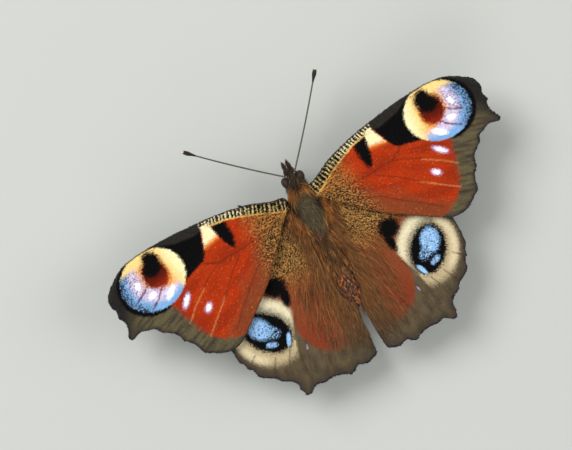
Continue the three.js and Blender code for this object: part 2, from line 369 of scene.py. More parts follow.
FRONT_EDGE = [(-0.4, 1.3), (1, 2.15), (2.3, 3.05), (4, 3.9), (7, 5.15), (10.5, 6.25), (14.5, 7.35),
              (18.5, 8.15), (20.3, 8.3), (22, 8.25), (23.3, 7.85), (24.5, 7.3), (26, 6)]
STRIP_DEPTH = [(9.8, 1.1), (11, 1.5), (14, 1.3), (16, 0.45), (30, 0.5)]
BAR_INNER = [(-0.1, 7.72), (0.7, 7.2), (1.5, 6.85), (2.9, 6.55), (4.6, 6.4)]
BAR_OUTER = [(-0.1, 7.86), (0.7, 8.27), (2.0, 8.58), (4.6, 8.64)]
BAND_FOOT = [(-1.7, -1.5), (0.2, -0.35), (2, 1.0), (4, 2.3), (6.5, 3.75), (8.7, 4.5), (9.9, 4.8)]
STRIPE_STEP = 0.44
FORE_GLINTS = [((21.75, 4.8), (0.65, 0.4), -60), ((21.0, 2.6), (0.75, 0.42), -10),
               ((18.75, 1.25), (1.15, 0.45), -28)]
FORE_SPOTS = [((17.9, -1.1), (1.25, 0.48), -36), ((16.2, -3.85), (0.85, 0.5), -32)]
print("forewing:", len(FORE_VEINS_DARK) + len(FORE_VEINS_PALE), "painted veins")

# %% Upper side of the forewing
def red_field(a, b, grain2):
    """Brick red, earthy towards the rear edge, with a few pale scales."""
    from_rear = (a - 0.4) * 0.4955 + (b + 1.6) * 0.8686
    c = lay(RED, DEEP_RED, 0.75 * ramp(ripple(a * 0.6 + b * 1.2, b * 2.2, 9, 1.3), -0.4, 1.0))
    c = lay(c, EARTH_RED, 0.9 * fall(from_rear + 0.5 * ripple(a, b, 6, 2.1), 0.4, 3.4))
    c = lay(c, DEEP_RED, 0.5 * ramp(a, 16.5, 19.5) * fall(b, -1, 1))
    c = lay(c, DEEP_RED, 0.5 * ramp(grain2, 0.1, 0.8))
    return lay(c, paint(206, 124, 66), 0.5 * ramp(-grain2, 0.93, 0.98))


def speckled_root(c, a, b, grain, grain2):
    """Orange, ochre and dark scales mixed near the body."""
    speck = grain2 + 0.5 * ripple(a, b, 0.55, 3.3)
    mixed = lay(ORANGE, OCHRE, ramp(speck, -0.2, 0.6))
    mixed = lay(mixed, paint(32, 26, 20), ramp(-speck + 0.3 * (b < -0.95), -0.1, 0.2))
    return lay(c, mixed, fall(a + 0.35 * b + 1.2 * grain, 2.6, 6.4))


def forewing_border(c, a, b, grain, grain2, rim):
    """The brown outer border with dark veins, and the two pale veins that run into it."""
    past_start = a - follow(b, BORDER_START) + 1.1 * ROUGH * grain + 0.2 * ripple(a, b, 1.6, 4.0)
    border = ramp(past_start, -0.35, 0.45)
    cloud = np.clip(0.35 + 0.4 * ripple(a * 0.3 + b, b, 1.9, 5.2) + 0.3 * grain2, 0, 1)
    tone = lay(lay(BROWN, DARK_BROWN, cloud), DARK_BROWN, 0.7 * fall(rim, 0.1, 0.7))
    tone = lay(tone, CHARCOAL, ramp(a + b, 24.5, 29.5))
    c = lay(c, tone, border)
    lines = [[(17.5, root), (25, 1.15 * root - 0.3)] for root in BORDER_VEINS]
    c = draw(c, a, b, lines, DARK_BROWN, 0.65 * border, 0.05 * grain, 0.05, 0.2)
    return draw(c, a, b, FORE_VEINS_PALE, paint(196, 140, 84), 0.5, 0.08 * grain, 0.03, 0.14)


def front_patches(c, a, b, grain, grain2):
    """The cream patch, the large black patch, the charcoal strip on the edge and the black bar."""
    g = ROUGH * grain
    slant = follow(b, PATCH_SLANT)
    cream = ramp(a, 8.5, 8.66) * ramp(slant - a + g, -0.15, 0.15) * ramp(b + 0.5 * g, 2.1, 2.9) * (a < 13)
    c = lay(c, lay(ORANGE, CREAM, ramp(b + 0.9 * g, 2.55, 3.4)), cream)
    patch = ramp(a - slant + g, -0.12, 0.18) * ramp(b - follow(a, PATCH_FOOT) + 0.7 * g, -0.1, 0.15)
    c = lay(c, BLACK, patch * fall(a, 19, 20))
    strip = ramp(b - (follow(a, FRONT_EDGE) - follow(a, STRIP_DEPTH)), -0.15, 0.25) * ramp(a, 9.6, 9.9)
    c = lay(c, lay(CHARCOAL, DARK_BROWN, np.clip(0.15 + 0.5 * grain2, 0, 1)), 0.95 * strip)
    bar = ramp(a - follow(b, BAR_INNER) + 1.6 * g, -0.28, 0.3)
    bar = bar * ramp(follow(b, BAR_OUTER) - a + 0.5 * g, -0.08, 0.1)
    return lay(c, BLACK, bar * ramp(b + g, -0.2, 0.25))


def striped_edge(c, a, b, grain):
    """Fine black and cream stripes across the front edge, over an ochre line."""
    above = b - follow(a, BAND_FOOT)
    wave = np.sin(2 * np.pi * (a * 0.93 + above * 0.42) / STRIPE_STEP + 0.9 * ripple(a, b, 2.1, 6.6))
    wave = wave - 0.3 - 0.2 * fall(a, 1, 5) + 0.25 * grain
    tone = lay(BLACK, lay(CREAM, paint(208, 184, 122), fall(a, 1.5, 6)), 0.85 * ramp(wave, 0.0, 0.4))
    tone = lay(tone, paint(206, 160, 80), 0.9 * fall(np.abs(above - 0.14) + 0.03 * grain, 0.08, 0.18))
    tone = lay(tone, CREAM, ramp(a, 8.2, 9.4) * fall(np.abs(above - 0.3), 0.2, 0.4))
    return lay(c, tone, ramp(above, -0.05, 0.05) * fall(a + 0.6 * ROUGH * grain, 9.6, 9.95))


def cool_half(a, b, g):
    """Where the forewing's eyespot is lilac and blue instead of cream."""
    cool = ramp((a - 19.4) * 0.62 - (b - 2.9) * 0.78 + g, -0.35, 0.45)
    cool = np.maximum(cool, ramp((a - 20.9) + (b - 5.2) * 0.15 + 3.0 * g, -0.6, 0.5) * fall(b, 6.6, 7.6))
    return np.maximum(cool, fall(b + 0.25 * (a - 18) + 2.0 * g, 1.1, 2.0) * ramp(a + g, 16.3, 17.3))


def forewing_eye(c, a, b, grain, grain2):
    """The eyespot: a black crescent behind it, cream and blue halves, white glints, and a dark heart."""
    g = ROUGH * grain
    eye = oval(a, b, (19.5, 4.15), (4.85, 4.2)) + 0.15 * g
    crescent = fall(oval(a, b, (20.3, 4.05), (4.75, 4.4)) + 0.12 * g, 0.97, 1.03)
    c = lay(c, BLACK, crescent * ramp(a, 19.2, 20.4))
    tone = lay(CREAM, WARM_CREAM, ramp(a + 0.3 * grain, 15.2, 16.8))
    tone = lay(tone, ORANGE, 0.5 * ramp(a + 3.0 * g, 16.5, 17.4) * fall(np.abs(b - 4.0), 2.2, 3.4))
    lines = ramp(np.sin(2 * np.pi * (b - 0.25 * a) / 0.34) + 0.4 * grain, 0.35, 0.8)
    lines = lines * ramp(b, 6.9, 7.4) * fall(a, 18.5, 19) * ramp(b - follow(a, FRONT_EDGE) + 1.0, 0, 0.2)
    tone = lay(tone, DARK_BROWN, 0.8 * lines)
    cool = cool_half(a, b, g)
    outside = ramp(oval(a, b, (18.9, 4.6), (3.9, 3.7)), 0.85, 1.15)
    tint = lay(lay(LILAC, WHITE, 0.35 + 0.35 * grain2), BLUE, outside * (0.9 + 0.1 * grain2))
    tone = lay(tone, tint, cool)
    stipple = ramp(grain + 0.95 * ramp(eye, 0.72, 0.98) - 0.1, 0.25, 0.6) * ramp(a + 0.4 * b, 21.5, 24)
    tone = lay(tone, BLACK, 0.9 * stipple * cool)
    for centre, radii, turn in FORE_GLINTS:
        tone = lay(tone, WHITE, fall(oval(a, b, centre, radii, turn) + 1.2 * g, 0.7, 1.25))
    tone = draw(tone, a, b, FORE_EYE_VEINS, MAROON, 0.9, 0.07 * grain, 0.05, 0.17)
    core = oval(a, b, (18.8, 4.5), (1.8, 2.15)) + g
    heart = fall(core, 0.85, 1.12)
    tone = lay(tone, ORANGE, 0.9 * fall(core, 1.0, 1.17) * (1 - 0.9 * cool))
    tone = lay(lay(tone, paint(132, 34, 12), heart), MAROON, heart * ramp(b + 2 * g, 2.9, 3.8))
    tone = lay(tone, BLACK, np.maximum(fall(oval(a, b, (18.5, 5.6), (1.75, 1.4), -6) + 1.2 * g, 0.7, 1.2),
                                       fall(oval(a, b, (18.0, 6.4), (1.25, 1.5), -30) + 1.2 * g, 0.75, 1.15)))
    return lay(c, tone, fall(eye, 0.985, 1.015))


def forewing_paint(a, b, grain, grain2, rim):
    """The upper side's colour at each place."""
    c = speckled_root(red_field(a, b, grain2), a, b, grain, grain2)
    c = draw(c, a, b, FORE_VEINS_DARK, paint(84, 36, 20), 0.55, 0.04 * grain, 0.04, 0.15)
    c = front_patches(forewing_border(c, a, b, grain, grain2, rim), a, b, grain, grain2)
    c = forewing_eye(striped_edge(c, a, b, grain), a, b, grain, grain2)
    for centre, radii, turn in FORE_SPOTS:
        spot = oval(a, b, centre, radii, turn) + 1.5 * ROUGH * grain
        c = lay(lay(c, LILAC, 0.75 * fall(spot, 0.8, 1.2)), WHITE, fall(spot, 0.45, 0.9))
    outer = np.maximum(ramp(a, 14.5, 16.5), ramp(b, -0.5, 1))
    return lay(c, EDGE, 0.75 * outer * fall(rim, 0.03, 0.2))


print("forewing markings ready")

# %% [markdown]
# The hindwing is chestnut, hairy towards the body and speckled at its root. Its eyespot is black, dusted
# with blue, in a wide pale ring with soft edges. Its own places are x, out from the body, and y, towards
# the tail.

# %% Lines of the hindwing
HIND_BORDER_START = [(0, 18.6), (1.5, 20.4), (3, 20.8), (5, 20.5), (6.5, 19.9), (7.6, 18.9), (8.6, 16.5),
                     (9.6, 14.5)]
HIND_VEINS_DARK = [
    [(8.2, 13.5), (9.4, 16.2), (9.9, 19), (10, 23)], [(10.8, 17.4), (11.6, 19), (12, 20.8)],
    [(12.9, 17.4), (13.6, 18.6), (14, 19.6)], [(6.3, 19.4), (6.7, 21.4), (6.9, 23.4)],
    [(8.4, 17.4), (9, 19.5), (9.8, 22.4)], [(15.2, 15.8), (16.3, 16.8)],
]
HIND_EYE = (12.35, 13.75)
HIND_CLOUDS = [((12.55, 15.6), (0.8, 0.42), -20, -0.6, -0.3), ((11.9, 13.9), (1.3, 0.9), -40, 0.1, 0.3)]
print("hindwing:", len(HIND_VEINS_DARK), "painted veins")

# %% Upper side of the hindwing
def hind_field(x, y, grain, grain2):
    """Chestnut, redder behind, browner towards the body, and speckled with ochre at the root."""
    c = lay(paint(126, 64, 36), paint(126, 48, 26), 0.8 * ramp(y + 0.6 * x, 17, 23) * ramp(x, 3.5, 6))
    furrow = ripple(x * 2.4 - y * 0.9, y * 0.2, 1.1, 2.9) + 0.5 * grain2
    c = lay(c, paint(104, 58, 36), 0.6 * ramp(furrow, 0.0, 0.9))
    c = lay(c, paint(128, 84, 48), 0.85 * fall(x + 0.5 * ripple(x, y, 3, 1.1), 2.2, 4.6))
    cell = np.sin(2 * np.pi * (x * 0.97 + y * 0.25) / 0.42 + ripple(x, y, 1.4, 2.0))
    cell = cell * np.sin(2 * np.pi * (y * 0.97 - x * 0.25) / 0.38 + ripple(x, y, 1.7, 2.6))
    tone = lay(paint(40, 34, 26), OCHRE, ramp(0.6 * cell + grain2, 0.0, 0.4))
    tone = lay(tone, paint(140, 74, 34), 0.45 * ramp(y, 6, 10))
    c = lay(c, tone, fall(y + 0.5 * np.abs(x - 5) + 1.5 * ROUGH * grain, 8, 12.6) * ramp(x, 1.6, 2.8))
    seam = np.abs(x - 2.7 + 0.2 * ripple(x, y, 2, 3.0)) + 0.3 * np.abs(grain)
    c = lay(c, paint(58, 40, 24), 0.6 * fall(seam, 0.1, 0.5) * ramp(y, 4, 6) * fall(y, 12, 16))
    return lay(c, paint(104, 80, 50), 0.9 * fall(x, 1.0, 2.2))


def hind_border(c, x, y, grain, grain2, rim):
    """The brown border, which also takes the whole outer corner."""
    cloud = np.clip(0.25 + 0.35 * ripple(x, y * 0.4, 2.2, 4.4) + 0.3 * grain2, 0, 1)
    brown = lay(lay(paint(90, 78, 56), DARK_BROWN, cloud), DARK_BROWN, 0.75 * fall(rim, 0.2, 1.6))
    c = lay(c, brown, ramp(y - follow(x, HIND_BORDER_START) + 1.2 * ROUGH * grain, -0.7, 0.6))
    return lay(c, brown, ramp(x + 0.3 * (y - 14), 9.6, 11.5))


def pale_ring(c, x, y, g):
    """The pale ring, cut off straight on the side of the body, and the black patch inside it."""
    ring = oval(x, y, (12.3, 13.6), (5.5, 4.65), -68)
    dx, dy = x - HIND_EYE[0], y - HIND_EYE[1]
    tan = lay(paint(216, 206, 172), paint(180, 162, 126), ramp((x - 11.5) + 0.7 * (y - 13.5), -2.5, 1.5))
    c = lay(c, tan, fall(0.28 * dy - 0.96 * dx + 0.6 * g, 3.3, 3.85) * fall(ring + 0.3 * g, 0.8, 1.08))
    crest = np.abs(oval(x, y, (12.5, 13.6), (5.0, 4.3), -70) - 0.86)
    c = lay(c, paint(212, 198, 162), 0.75 * fall(crest, 0.02, 0.2) * ramp(x, 13, 15))
    patch = np.minimum(oval(x, y, (8.7, 8.55), (1.6, 1.5), -25), oval(x, y, (8.05, 10.1), (0.6, 1.8), -8))
    c = lay(c, BLACK, fall(patch + 1.4 * g, 0.75, 1.3))
    eye = oval(x, y, HIND_EYE, (3.6, 2.55), -56)
    c = lay(c, paint(96, 86, 66), 0.85 * fall(eye + 0.8 * g, 0.98, 1.1 + 0.34 * ramp(-dx - dy, -0.5, 1.5)))
    return lay(c, BLACK, fall(eye + 0.5 * g, 0.95, 1.03))


def blue_dust(x, y, grain, grain2):
    """Where the black eye is dusted with blue scales: one large cloud, two small ones and a dash."""
    g = ROUGH * grain
    fade = ramp((x - 12) * 0.7 - (y - 13.8) * 0.5, -1.6, 0.9)
    cloud = fall(oval(x, y, (13.1, 12.75), (1.85, 1.35), -66) + g, 0.85, 1.15)
    blue = cloud * ramp(grain2 + 1.25 * fade - 0.5, 0.0, 0.25)
    for centre, radii, turn, from_chance, to_chance in HIND_CLOUDS:
        small = fall(oval(x, y, centre, radii, turn) + 1.2 * g, 0.8, 1.15)
        blue = np.maximum(blue, small * ramp(grain2, from_chance, to_chance))
    return np.maximum(blue, fall(oval(x, y, (10.25, 15.95), (0.95, 0.3), 66) + 0.8 * g, 0.8, 1.15))


def hindwing_paint(x, y, grain, grain2, rim):
    """The upper side's colour at each place."""
    g = ROUGH * grain
    c = hind_border(hind_field(x, y, grain, grain2), x, y, grain, grain2, rim)
    c = pale_ring(c, x, y, g)
    dust = lay(BLUE, paint(176, 206, 240), np.clip(0.5 + 0.5 * grain, 0, 1))
    c = lay(c, dust, blue_dust(x, y, grain, grain2))
    c = draw(c, x, y, HIND_VEINS_DARK, paint(66, 50, 34), 0.55, 0.04 * grain, 0.04, 0.16)
    c = lay(c, LILAC, 0.7 * fall(oval(x, y, (8.55, 18.1), (0.4, 0.1), 75) + g, 0.8, 1.4))
    return lay(c, EDGE, 0.8 * ramp(y, 8, 11) * fall(rim, 0.03, 0.2))


print("hindwing markings ready")

# %% [markdown]
# Underneath all four wings are nearly black, crossed by fine wavy lines that follow the outer edge: at rest
# with its wings shut the butterfly looks like a scorched leaf. A sine of the distance from the wing's root,
# disturbed by soft unevenness, draws those lines.

# %% Underside of the wings
BARK_STEP = 0.62


def bark(p, q, grain, grain2, rim, root, band):
    """Dark bark-like lines round the wing's root, with a paler band."""
    away = np.hypot(p - root[0], q - root[1])
    wave = np.sin(2 * np.pi * (away + 0.45 * ripple(p, q, 3.0, 1.9)) / BARK_STEP) + 0.5 * grain
    c = lay(paint(44, 37, 33), paint(16, 14, 14), 0.8 * ramp(wave, -0.1, 0.7))
    c = lay(c, paint(82, 70, 58), 0.45 * ramp(ripple(p, q, 2.2, 5.0) + 0.6 * grain2, 0.2, 1.0))
    c = lay(c, paint(98, 84, 66), 0.4 * fall(np.abs(away - band + 0.5 * ripple(p, q, 3.5, 0.7)), 0.7, 2.2))
    return lay(c, EDGE, 0.8 * fall(rim, 0.03, 0.25))


def forewing_underside(a, b, grain, grain2, rim):
    return bark(a, b, grain, grain2, rim, (-4.0, 2.0), 24.5)


def hindwing_underside(x, y, grain, grain2, rim):
    c = bark(x, y, grain, grain2, rim, (0.0, -2.0), 20.5)
    return lay(c, paint(200, 196, 180), fall(oval(x, y, (8.6, 13.2), (0.32, 0.26)), 0.8, 1.2))


print("undersides ready")

# %% [markdown]
# ## The wing sheets
# A real wing is a clear film, stiffened by veins and thinner than paper. Here it is a closed sheet 0.14 mm
# thick that lies inside its solid. Its outline is a smooth curve through a few corners, and every ring of
# points is that outline shrunk towards the wing's middle. The veins are raised by a rule: the nearer a
# point lies to a vein's line, the higher it stands. Each point also remembers its place on the wing, which
# way the scales lie there, and its colour.

# %% Wing outlines
FORE_EDGE = [
    (-1.7, 0.7), (-0.4, 1.3), (1, 2.15), (2.3, 3.05), (4, 3.9), (7, 5.15), (10.5, 6.25), (14.5, 7.35),
    (18.5, 8.15), (20.3, 8.32), (22, 8.25), (23.3, 7.85), (24.5, 7.3), (25.6, 6.7), (26.2, 6), (26.4, 5),
    (26.25, 4.1),
    (26.65, 3.25), (26.35, 2.5), (26.5, 1.6), (26.9, 0.9), (27.35, 0.25), (27.2, -0.22), (26.4, -0.15),
    (25.4, -0.2), (24.7, -0.65), (23.7, -1.2), (23.4, -2.1), (22.6, -2.9), (22.1, -3.5), (21.8, -4.4),
    (21.8, -5.1), (21.3, -5.8), (20.95, -6.6), (20.85, -7.5), (20.75, -8.2), (20.1, -8.8), (19.2, -9.65),
    (18.4, -10.2), (17.2, -10.55), (16.1, -10.55), (13.1, -9.3), (10.6, -8.1), (8.5, -7.1), (5, -5),
    (2.5, -3.1), (0.4, -1.7), (-0.8, -1), (-1.7, -0.4),
]
HIND_EDGE = [
    (1.2, 1.6), (4.5, 1.6), (8, 3.3), (12, 5.8), (15.3, 8.1), (16.9, 9.9), (17.4, 11.4), (17.55, 13),
    (17.5, 14.4), (17.35, 15.6), (16.9, 16.25), (16.75, 17), (16.25, 17.5), (16.05, 18.5), (15.5, 19.15),
    (14.8, 19.55), (14, 20.1), (13.5, 20.8), (12.6, 21.3), (12, 21.9), (11.8, 22.6), (11.85, 23.2),
    (11.65, 23.6), (11.55, 24.1), (11.15, 24.25), (10.6, 24), (10.2, 23.65), (9.5, 23.45), (8.6, 23.7),
    (7.6, 23.55), (6.5, 23.75), (5.7, 24), (5.05, 24.45), (4.3, 24.1), (3.85, 23.7), (3.1, 23.9),
    (2.4, 24.1), (1.5, 23.8), (0.9, 23.55), (0.7, 22), (0.6, 20), (0.55, 18.2), (0.35, 16.6), (1.3, 14),
    (1.75, 10), (1.7, 5),
]
RIM_STEPS = 150
STEPS_BETWEEN_CORNERS = 24


def rim_line(corners, count):
    """A closed smooth curve through the corners, cut into even steps."""
    p = np.asarray(corners, float)
    before, after, beyond = np.roll(p, 1, 0), np.roll(p, -1, 0), np.roll(p, -2, 0)
    d0, d1, d2 = (np.linalg.norm(v, axis=1)[:, None] ** 0.5 for v in (p - before, after - p, beyond - after))
    leave = ((p - before) / d0 - (after - before) / (d0 + d1) + (after - p) / d1) * d1
    arrive = ((after - p) / d1 - (beyond - p) / (d1 + d2) + (beyond - after) / d2) * d1
    t = np.linspace(0, 1, STEPS_BETWEEN_CORNERS, endpoint=False)[None, :, None]
    a, b, m, n = p[:, None], after[:, None], leave[:, None], arrive[:, None]
    line = (2 * t ** 3 - 3 * t ** 2 + 1) * a + (t ** 3 - 2 * t ** 2 + t) * m
    line = (line + (3 * t ** 2 - 2 * t ** 3) * b + (t ** 3 - t ** 2) * n).reshape(-1, 2)
    return even_steps(np.vstack([line, line[:1]]), count, endpoint=False)


def rim_distance(p, q, corners):
    """Distance from each place of a wing to its edge."""
    rim = rim_line(corners, RIM_STEPS)
    return line_distance(p, q, np.vstack([rim, rim[:1]]))


print("outlines:", len(FORE_EDGE), "and", len(HIND_EDGE), "corners")

# %% Veins
FORE_VEINS = [
    [(-1, 0.3), (4, 2.6), (8, 4.5), (12.2, 6.2)],
    [(0.3, -0.2), (4, 1.5), (8, 3.4), (12.8, 4.8), (18, 6.6), (22.4, 8)],
    [(11, 4.3), (16, 7), (18.6, 7.9)],
    [(12.8, 4.8), (19, 5.6), (25.8, 6.4)],
    [(12.8, 4.6), (19.5, 4.4), (26.3, 4.2)],
    [(12.8, 4.8), (12.7, 3), (12.8, 1.3)],
    [(12.8, 3), (19.2, 2.6), (26.8, 1)],
    FORE_VEINS_DARK[0],
    [(12.8, 1.3), (18, 0.5), (24.6, -0.6)],
    [(11, -0.1), (15, -1.4), (20.5, -4.1), (22, -4.7)],
    [(8, -1.1), (14.5, -4.8), (19.5, -7.3), (20.8, -8)],
    [(0.3, -1.2), (4, -3), (7.5, -4.1), (12, -6.7), (16.8, -9.8)],
]
HIND_VEINS = [
    [(2.6, 2.4), (8, 4.8), (13, 7.4), (16.8, 10)],
    [(2.8, 3.4), (7.4, 7.6), (12, 9.6), (17.4, 14.2)],
    [(7.4, 7.6), (11, 11), (15.2, 15.8), (16.8, 17)],
    [(7.4, 7.6), (10.4, 13), (12.9, 17.4), (14.2, 20)],
    [(2.6, 4), (6.6, 9.4), (9.4, 14), (10.8, 17.4), (12, 21.4)],
    [(6.6, 9.4), (8.3, 13.8), (9.8, 18.6), (10.7, 23.8)],
    [(4.8, 7), (5.9, 13), (6.3, 19.4), (6.9, 23.6)],
    [(2.4, 4.4), (3.1, 12), (3.5, 18), (3.9, 23.7)],
    [(2, 6), (1.9, 13), (1.5, 18), (1.7, 23.6)],
]
print("veins:", len(FORE_VEINS), "in a forewing,", len(HIND_VEINS), "in a hindwing")

# %% Places and heights of the wings
FOREWING_SET = {
    "left": dict(side=1, x=3.9, y=-0.92, sweep=13.7, scale=1.0089),
    "right": dict(side=-1, x=2.6, y=-0.9, sweep=6.3, scale=1.0),
}
HINDWING_STRETCH = {"left": 1.075, "right": -1.0}


def forewing_height(a, b):
    """Rises towards the tip and arches between front and rear edge."""
    return 6.55 + 0.085 * a - 0.0009 * a * a + 0.3 * np.sin(np.pi * (b + 11) / 20)


def hindwing_height(x, y):
    """Lies lower than the forewing and dips where it meets the body."""
    return 5.75 + 0.055 * (x - 2) + 0.2 * np.sin(np.pi * x / 19) - 0.5 * np.exp(-x / 1.6)


def forewing_plan(side_name):
    """A function from a forewing's own places to the drawing's plan."""
    s = FOREWING_SET[side_name]
    c, w = np.cos(np.radians(s["sweep"])), np.sin(np.radians(s["sweep"]))

    def plan(a, b):
        return s["side"] * (s["x"] + s["scale"] * (a * c + b * w)), s["y"] + s["scale"] * (a * w - b * c)
    return plan


def hindwing_plan(side_name):
    return lambda x, y: (HINDWING_STRETCH[side_name] * x, y)


WING_KINDS = {
    "forewing": dict(piece="wing_fore_", edge=FORE_EDGE, middle=(14.0, 1.5), veins=FORE_VEINS,
                     plan=forewing_plan, height=forewing_height, top=forewing_paint,
                     under=forewing_underside, scales_from=(-4.0, 0.0), map_shift=12),
    "hindwing": dict(piece="wing_hind_", edge=HIND_EDGE, middle=(8.5, 12.5), veins=HIND_VEINS,
                     plan=hindwing_plan, height=hindwing_height, top=hindwing_paint,
                     under=hindwing_underside, scales_from=(-1.0, -6.0), map_shift=0),
}
print("forewings swept by", [s["sweep"] for s in FOREWING_SET.values()], "degrees")

# %% One function for all four sheets
SHEET = 0.14
VEIN_RISE = 0.07
VEIN_WIDTH = 0.13
WING_RINGS = 44
WING_AROUND = 340
MAP_SPAN = 30.0
SMALL_STEP = 0.01


def both_sides(values, flip):
    """Values of the upper side, followed by the same for the underside in its own order."""
    return np.r_[values, values[flip]]


def wing_sheet(kind, side_name):
    """A closed wing sheet whose points carry place, lie, colour and a flat map for the coats."""
    plan, height = kind["plan"](side_name), kind["height"]
    rim = rim_line(kind["edge"], WING_AROUND)
    share = np.linspace(0, 1, WING_RINGS + 1)[1:, None, None]
    places = (np.asarray(kind["middle"]) + share * (rim - kind["middle"])).reshape(-1, 2)
    p, q = np.r_[kind["middle"][0], places[:, 0]], np.r_[kind["middle"][1], places[:, 1]]
    edge = rim_distance(p, q, kind["edge"])
    vein_gap = np.min([line_distance(p, q, vein) for vein in kind["veins"]], axis=0)
    ridge = np.exp(-(vein_gap / VEIN_WIDTH) ** 2) * ramp(edge, 0, 0.6)
    x, y = plan(p, q)
    z = height(p, q)
    upper = np.stack([x, y, z + SHEET / 2 + VEIN_RISE * ridge], 1)
    lower = np.stack([x, y, z - SHEET / 2 - 0.7 * VEIN_RISE * ridge], 1)
    flip = np.r_[np.arange(1, len(p)).reshape(WING_RINGS, WING_AROUND)[::-1].ravel(), 0]
    name = kind["piece"] + side_name
    mesh = make_mesh(name, np.vstack([upper, lower[flip]]), skin_faces(WING_AROUND, 2 * WING_RINGS))
    face_up = np.repeat([1.0, -1.0], len(p))
    p, q, edge = (both_sides(v, flip) for v in (p, q, edge))
    keep(mesh, "Place", np.stack([p, q, face_up], 1), "FLOAT_VECTOR")
    keep(mesh, "Edge", edge)
    out = np.stack([p - kind["scales_from"][0], q - kind["scales_from"][1]], 1)
    out /= np.linalg.norm(out, axis=1)[:, None] + 1e-9
    further = p + SMALL_STEP * out[:, 0], q + SMALL_STEP * out[:, 1]
    ahead = np.stack(plan(*further), 1) - np.stack(plan(p, q), 1)
    keep(mesh, "Lie", np.c_[ahead, height(*further) - height(p, q)] / SMALL_STEP, "FLOAT_VECTOR")
    # The map lays the upper side and the underside next to each other, as flat as they really are
    across = (q + kind["map_shift"]) / MAP_SPAN * 0.48 + np.where(face_up > 0, 0.0, 0.5)
    keep(mesh, "SkinMap", np.stack([(p + 2) / MAP_SPAN, across, 0 * p], 1), "FLOAT_VECTOR")
    keep_colour(mesh, np.where((face_up > 0)[:, None], kind["top"](p, q, 0 * p, 0 * p, edge),
                               kind["under"](p, q, 0 * p, 0 * p, edge)))
    return show(name, mesh)


wings = {}
for side_name in SIDES:
    for kind_name, kind in WING_KINDS.items():
        wings[kind_name + "_" + side_name] = wing_sheet(kind, side_name)
for wing in wings.values():
    print(wing.name, len(wing.data.polygons), "faces")

# %% [markdown]
# ## Growing scales and hair
# A butterfly's wing carries tens of thousands of scales, and its body a coat of long hair. Both repeat one
# small shape over a surface, so Geometry Nodes scatter them: points fall on the skin, each one gets a
# turned and sized copy of the shape, and the copies are made real. One tree lays flat scales like tiles,
# the other sets bent, tapering hairs. Each copy keeps the place of its root, so that the colour rules can
# be asked again for every single scale.

# %% Node tools
def socket(sockets, name):
    """The socket of that name that is in use."""
    return next(s for s in sockets if s.name == name and s.enabled)


def feed(tree, target, value):
    """Gives an input a plain value or the output of another node."""
    if isinstance(value, bpy.types.NodeSocket):
        tree.links.new(value, target)
    else:
        target.default_value = value


def add_node(tree, kind, settings=(), **inputs):
    """Adds a node with its settings and inputs; _ in a name stands for a space."""
    made = tree.nodes.new(kind)
    for key, value in settings:
        setattr(made, key, value)
    for key, value in inputs.items():
        feed(tree, socket(made.inputs, key.replace("_", " ")), value)
    return made


def in_order(tree, kind, operation, values):
    """A node of one operation whose inputs are given in order; returns its result."""
    made = tree.nodes.new(kind)
    made.operation = operation
    for target, value in zip(made.inputs, values):
        feed(tree, target, value)
    return made.outputs[0]


def maths(tree, operation, a, b=0.0):
    return in_order(tree, "ShaderNodeMath", operation, (a, b))


def vector_maths(tree, operation, a, b):
    return in_order(tree, "ShaderNodeVectorMath", operation, (a, b))


def vector(tree, x, y, z):
    """Three numbers as one vector."""
    return add_node(tree, "ShaderNodeCombineXYZ", X=x, Y=y, Z=z).outputs[0]


def named(tree, name, kind="FLOAT_VECTOR"):
    """A value stored in the points of the skin."""
    made = add_node(tree, "GeometryNodeInputNamedAttribute", [("data_type", kind)], Name=name)
    return socket(made.outputs, "Attribute")


def random_number(tree, low, high, seed):
    made = add_node(tree, "FunctionNodeRandomValue", [("data_type", "FLOAT")], Min=low, Max=high, Seed=seed)
    return socket(made.outputs, "Value")


def new_tree(name, numbers):
    """An empty geometry tree with named inputs."""
    tree = bpy.data.node_groups.new(name, "GeometryNodeTree")
    inputs = [("Skin", "Geometry"), *((number, "Float") for number in numbers), ("Lift", "Float"),
              ("Spread", "Float"), ("Patch Size", "Float"), ("Seed", "Int"), ("Finish", "Material")]
    for label, kind in inputs:
        tree.interface.new_socket(name=label, in_out="INPUT", socket_type="NodeSocket" + kind)
    tree.interface.new_socket(name="Coat", in_out="OUTPUT", socket_type="NodeSocketGeometry")
    return tree, tree.nodes.new("NodeGroupInput").outputs, tree.nodes.new("NodeGroupOutput").inputs


def stored(tree, shape, name, kind, domain, value):
    """The shape with a value kept under a name."""
    made = add_node(tree, "GeometryNodeStoreNamedAttribute", [("data_type", kind), ("domain", domain)],
                    Geometry=shape, Name=name, Value=value)
    return socket(made.outputs, "Geometry")


def with_local(tree, shape, size):
    """Stores each corner's place within one copy, about -0.5 to 0.5, for the baking map."""
    here = add_node(tree, "GeometryNodeInputPosition").outputs[0]
    return stored(tree, shape, "Local", "FLOAT_VECTOR", "POINT", vector_maths(tree, "DIVIDE", here, size))


